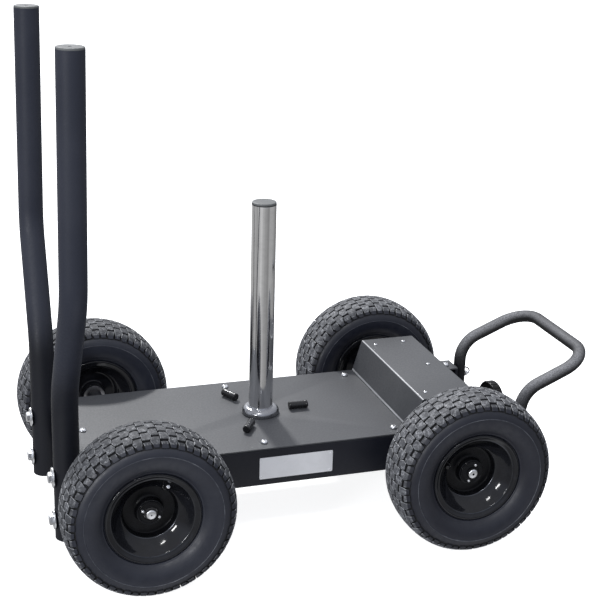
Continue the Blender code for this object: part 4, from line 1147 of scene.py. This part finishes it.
SPIN = {"rear_near": (-26.0, 61.0, True), "front_near": (69.0, 158.0, False),
        "rear_far": (17.0, 210.0, False), "front_far": (104.0, 40.0, False)}
for which, sx in (("rear", -1), ("front", 1)):
    for label, side in SIDES:
        tag = which + "_" + label
        body = "front_axle" if which == "front" else "rear_wheel_" + label
        spin, stem, metal_cap = SPIN[tag]
        m = wheel_matrix(sx * AX + SX, side, spin)
        ty = Shape()
        ty.add(TYRE.v, TYRE.f, TYRE.m, m)
        # painted shade: the rear tyres take the darker tread copy and the front tyres the darker sidewall copy
        ty.make("tyre_%s_turf" % tag,
                [TREAD_TOP_REAR_SHADED if which == "rear" else TREAD_TOP, TREAD_WALL_SHADE,
                 SIDEWALL if which == "rear" else SIDEWALL_FRONT_SHADED, TREAD_EDGE_HIGHLIGHT, MOULD_LINE_HIGHLIGHT], body, "tyre_rubber",
                ["tyre_" + tag], 30, False)
        # the stem stands at an angle counted from the frame's +X towards up
        rim = build_rim(stem - spin if side < 0 else spin - stem, metal_cap)
        fixed = Shape().add(rim.v, rim.f, rim.m, m)
        fixed.make("rim_%s_pressed" % tag, [RIM, SOFT, ZINC, RIM_EDGE_HIGHLIGHT, RIM_WELL_SHADE], body, "rim_paint", ["rim_" + tag], 42)

        face = 0.0183
        hub = Shape()
        inner_r = 0.0132 if which == "rear" else 0.0098
        fl = soften([(inner_r, face), (0.0240, face), (0.0240, face + 0.0030), (0.0215, face + 0.0032),
                     (0.0205, face + 0.0022), (0.0150, face + 0.0022), (0.0140, face + 0.0030),
                     (inner_r, face + 0.0030)], [0, 0.0004, 0.0010, 0.0006, 0.0006, 0.0006, 0.0005, 0.0003], 3, True)
        # the hub flange, and the front sleeve below, take the near-black well colour: painted shade
        hub.add(*lathe(fl, 72, 0.0, True), matrix=m)
        if which == "front":
            sl = [(0.0103, -0.0235), (0.0228, -0.0235), (0.0230, -0.0230), (0.0230, face), (0.0103, face)]
            hub.add(*lathe(sl, 64, 0.0, True), matrix=m)
        for k in (-1, 1):
            mm = m @ Matrix.Translation((k * 0.0174, 0, face + (0.0052 if which == "rear" else 0.0028)))
            dome = [(0.0, 0.0034), (0.0012, 0.0033), (0.0024, 0.0027), (0.0031, 0.0016), (0.0033, 0.0004),
                    (0.0033, -0.0036)]
            hub.add(*lathe(dome, 32), 1, matrix=mm)
        node = "hub_plate_" + tag if which == "rear" else "drive_hub_" + tag
        hub.make(node + "_turned", [RIM_WELL_SHADE, ZINC], body, "cast_iron", [node], 40)
        if which == "rear":
            br = soften([(0.0103, 0.0170), (0.0229, 0.0170), (0.0230, -0.0235), (0.0103, -0.0235)],
                        0.0006, 2, True)
            Shape().add(*lathe(br, 64, 0.0, True), matrix=m).make(
                "wheel_bearing_%s_ring" % tag, [TURNED], body, "turned_steel",
                ["wheel_bearing_" + tag], 40)
        b = Shape()
        shoulder = ([(0.0123, 0.0217), (0.0123, 0.0174), (0.0095, 0.0174)] if which == "rear"
                    else [(0.0095, 0.0217)])
        prof = ([(0.0, -0.011), (0.0050, -0.0110), (0.0060, -0.0100), (0.0060, 0.0163), (0.0095, 0.0163)]
                + list(reversed(shoulder)) + [(0.0098, 0.0221), (0.0100, 0.0226), (0.0100, 0.0262),
                                              (0.0097, 0.0272), (0.0088, 0.0281), (0.0072, 0.0287),
                                              (0.0056, 0.0290)])
        rings = [round_ring(r, h) if r > 0 else [(0, 0, h)] for r, h in prof]
        for rr, hh in (((0.0014, 0.0291), (0.0012, 0.0284)) if side < 0 and which == "rear"
                       else ((0.0024, 0.0290), (0.0021, 0.0272))):
            rings.append([(rr * math.cos(TAU * q / 48),
                           rr * math.sin(TAU * q / 48), hh)
                          for q in range(48)])
        rings.append([(0, 0, 0.0283 if side < 0 and which == "rear" else 0.0270)])
        v, f = skin(rings)
        marks = [0] * len(f)
        # the socket faces take the near-black colour: painted shade
        marks[-96:] = [1] * 96
        for q, poly in enumerate(f):
            high = [v[i][2] for i in poly]
            if max(high) < 0.0265:
                marks[q] = 2
        b.add(v, f, marks, matrix=m)
        b.make("hub_bolt_%s_head" % tag, [ZINC, SOCKET_SHADE, IRON], "chassis" if which == "rear" else body, "zinc",
               ["hub_bolt_" + tag], 40)

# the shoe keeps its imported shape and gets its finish
for node in ("brake_shoe",):
    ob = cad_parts[node]
    for slot_ in ob.material_slots:
        slot_.material = IRON

# ===================================================================== stage
floor_me = bpy.data.meshes.new("floor")
floor_me.from_pydata([(-60, -60, 0), (60, -60, 0), (60, 60, 0), (-60, 60, 0)], [], [(0, 1, 2, 3)])
floor = bpy.data.objects.new("floor", floor_me)
bpy.context.scene.collection.objects.link(floor)
fp = Paint("floor_pale")
fp.set(color=fp.mix(fp.span(fp.noise(0.7, 3), 0.3, 0.7), (0.78, 0.78, 0.78), (0.80, 0.80, 0.80)),
       rough=0.9, spec=0.1)
fp.bsdf.inputs["Emission Color"].default_value = (1, 1, 1, 1)
fp.bsdf.inputs["Emission Strength"].default_value = 0.84
floor_me.materials.append(fp.mat)
floor.visible_glossy = False
floor.visible_diffuse = False

world = bpy.data.worlds.new("studio")
bpy.context.scene.world = world
world.use_nodes = True
wn = world.node_tree
bg = wn.nodes["Background"]
tc = wn.nodes.new("ShaderNodeTexCoord")
sep = wn.nodes.new("ShaderNodeSeparateXYZ")
wn.links.new(tc.outputs["Generated"], sep.inputs[0])


def wmath(op, a, b=None):
    m = wn.nodes.new("ShaderNodeMath")
    m.operation = op
    for k, v in enumerate((a, b)):
        if v is None:
            continue
        if isinstance(v, (int, float)):
            m.inputs[k].default_value = v
        else:
            wn.links.new(v, m.inputs[k])
    return m.outputs[0]


def wramp(value, stops):
    r = wn.nodes.new("ShaderNodeValToRGB")
    r.color_ramp.interpolation = 'EASE'
    els = r.color_ramp.elements
    while len(els) > 1:
        els.remove(els[-1])
    for n, (pos, c) in enumerate(stops):
        e = els[0] if n == 0 else els.new(pos)
        e.position = pos
        e.color = (*c, 1.0) if isinstance(c, tuple) else (c, c, c, 1.0)
    wn.links.new(value, r.inputs[0])
    return r.outputs[0]


def wmix(fac, a, b):
    m = wn.nodes.new("ShaderNodeMix")
    m.data_type = 'RGBA'
    for sock, v in ((m.inputs[0], fac), (m.inputs[6], a), (m.inputs[7], b)):
        if isinstance(v, (int, float)):
            sock.default_value = v
        elif isinstance(v, tuple):
            sock.default_value = (*v, 1.0)
        else:
            wn.links.new(v, sock)
    return m.outputs[2]


# compass bearing of the direction, 0 to 1, counted from -X through -Y, +X and +Y
bearing = wmath('ADD', wmath('DIVIDE', wmath('ARCTAN2', sep.outputs["Y"], sep.outputs["X"]), TAU), 0.5)
# low walls of the studio: dark in front, pale flags at the sides and behind
walls = wramp(bearing, [(0.00, 0.36), (0.034, 0.30), (0.060, 0.42), (0.085, 0.44), (0.145, 0.56),
                        (0.200, 0.40), (0.257, 0.31), (0.330, 0.24), (0.368, 0.37), (0.430, 0.37),
                        (0.480, 0.34), (0.512, 0.28), (0.550, 0.22), (0.650, 0.20), (0.750, 0.50), (0.830, 0.48),
                        (0.890, 0.38), (0.955, 0.38), (1.0, 0.36)])
# above them the ceiling, brightest behind the sled
ceiling = wramp(bearing, [(0.0, (0.86, 0.91, 1.04)), (0.12, (0.74, 0.80, 0.95)), (0.25, (0.60, 0.66, 0.80)),
                          (0.5, (0.44, 0.47, 0.55)), (0.75, (1.05, 1.08, 1.15)), (0.92, (1.05, 1.10, 1.20)),
                          (1.0, (0.86, 0.91, 1.04))])
top = wmix(wramp(sep.outputs["Z"], [(0.45, 0.0), (0.95, 1.0)]), ceiling, (0.80, 0.82, 0.88))
soft = wmix(wramp(sep.outputs["Z"], [(0.46, 0.0), (0.66, 1.0)]), walls, top)
# the ramp above takes 0..1, so the height is moved into that range first
height = wmath('ADD', wmath('MULTIPLY', sep.outputs["Z"], 0.5), 0.5)
for link in list(wn.links):
    if link.from_socket == sep.outputs["Z"] and link.to_node.bl_idname == "ShaderNodeValToRGB":
        wn.links.new(height, link.to_socket)
path = wn.nodes.new("ShaderNodeLightPath")
# light that the pale floor throws back, for matt surfaces only
down = wramp(height, [(0.20, 1.0), (0.47, 0.0)])
bounce = wmath('MULTIPLY', down, path.outputs["Is Diffuse Ray"])
thrown = wramp(bearing, [(0.0, (0.44, 0.47, 0.56)), (0.25, (0.31, 0.34, 0.42)), (0.5, (0.22, 0.24, 0.29)),
                         (0.75, (0.34, 0.36, 0.42)), (1.0, (0.44, 0.47, 0.56))])
soft = wmix(bounce, soft, thrown)
# matt surfaces get more of their light from the left, low down
flank = wramp(bearing, [(0.0, 0.84), (0.10, 0.70), (0.22, 0.50), (0.50, 0.40), (0.72, 0.50), (0.90, 0.80),
                        (1.0, 0.84)])
flank = wmath('MULTIPLY', flank, 2.0)
low_part = wmath('MULTIPLY', wramp(height, [(0.62, 1.0), (0.85, 0.0)]), path.outputs["Is Diffuse Ray"])
gain = wmath('ADD', 1.0, wmath('MULTIPLY', low_part, wmath('SUBTRACT', flank, 1.0)))
tint = wn.nodes.new("ShaderNodeVectorMath")
tint.operation = 'SCALE'
wn.links.new(soft, tint.inputs[0])
wn.links.new(gain, tint.inputs["Scale"])
soft = tint.outputs[0]
# pale ground in front, well below the line of sight
ahead = wramp(bearing, [(0.20, 0.0), (0.27, 1.0), (0.345, 1.0), (0.42, 0.0)])
deep = wramp(height, [(0.250, 1.0), (0.302, 0.0)])
soft = wmix(wmath('MULTIPLY', ahead, deep), soft, (0.95, 0.96, 1.0))
wn.links.new(wmix(path.outputs["Is Camera Ray"], soft, (1.0, 1.0, 1.0)), bg.inputs["Color"])
bg.inputs["Strength"].default_value = 1.0


def sun(name, direction, energy, angle):
    data = bpy.data.lights.new(name, 'SUN')
    data.energy = energy
    data.angle = math.radians(angle)
    ob = bpy.data.objects.new(name, data)
    ob.rotation_mode = 'QUATERNION'
    ob.rotation_quaternion = Vector(direction).to_track_quat('Z', 'Y')
    bpy.context.scene.collection.objects.link(ob)
    return ob


def panel(name, at, target, size, power, turn=0.0):
    data = bpy.data.lights.new(name, 'AREA')
    data.shape = 'RECTANGLE'
    data.size, data.size_y = size
    data.energy = power
    ob = bpy.data.objects.new(name, data)
    ob.location = at
    ob.rotation_mode = 'QUATERNION'
    ob.rotation_quaternion = ((Vector(at) - Vector(target)).to_track_quat('Z', 'Y')
                              @ Matrix.Rotation(math.radians(turn), 4, 'Z').to_quaternion())
    bpy.context.scene.collection.objects.link(ob)
    return ob


sun("key", (-0.01, 0.72, 0.68), 2.15, 5.0)
# a small window in front, high on the left, that the gloss picks up
panel("window", (-1.93, -3.40, 4.90), (-0.1, -0.29, 0.15), (1.15, 0.30), 50.0, 50.0)
# and a second one lower down on the left
panel("window_low", (-4.60, -3.80, 1.95), (-0.1, -0.29, 0.15), (1.60, 0.40), 115.0, 62.0)

# ==================================================================== camera
az, el, roll = math.radians(-18.7596), math.radians(19.0146), math.radians(1.6037)
back = Vector((math.sin(az) * math.cos(el), -math.cos(az) * math.cos(el), math.sin(el)))
at = Vector((0.0592 + SX, 0.0, 0.4462)) + back * 2.8866
right = (-back).cross(Vector((0, 0, 1))).normalized()
up = right.cross(-back)
r2 = right * math.cos(roll) + up * math.sin(roll)
u2 = up * math.cos(roll) - right * math.sin(roll)
cam_data = bpy.data.cameras.new("camera")
cam_data.sensor_width = 36.0
cam_data.lens = 36.0 * 1401.17 / 600.0
cam_data.clip_start, cam_data.clip_end = 0.05, 200.0
cam = bpy.data.objects.new("camera", cam_data)
cam.matrix_world = Matrix.Translation(at) @ Matrix((r2, u2, back)).transposed().to_4x4()
bpy.context.scene.collection.objects.link(cam)
bpy.context.scene.camera = cam
bpy.context.scene.view_settings.view_transform = 'Standard'
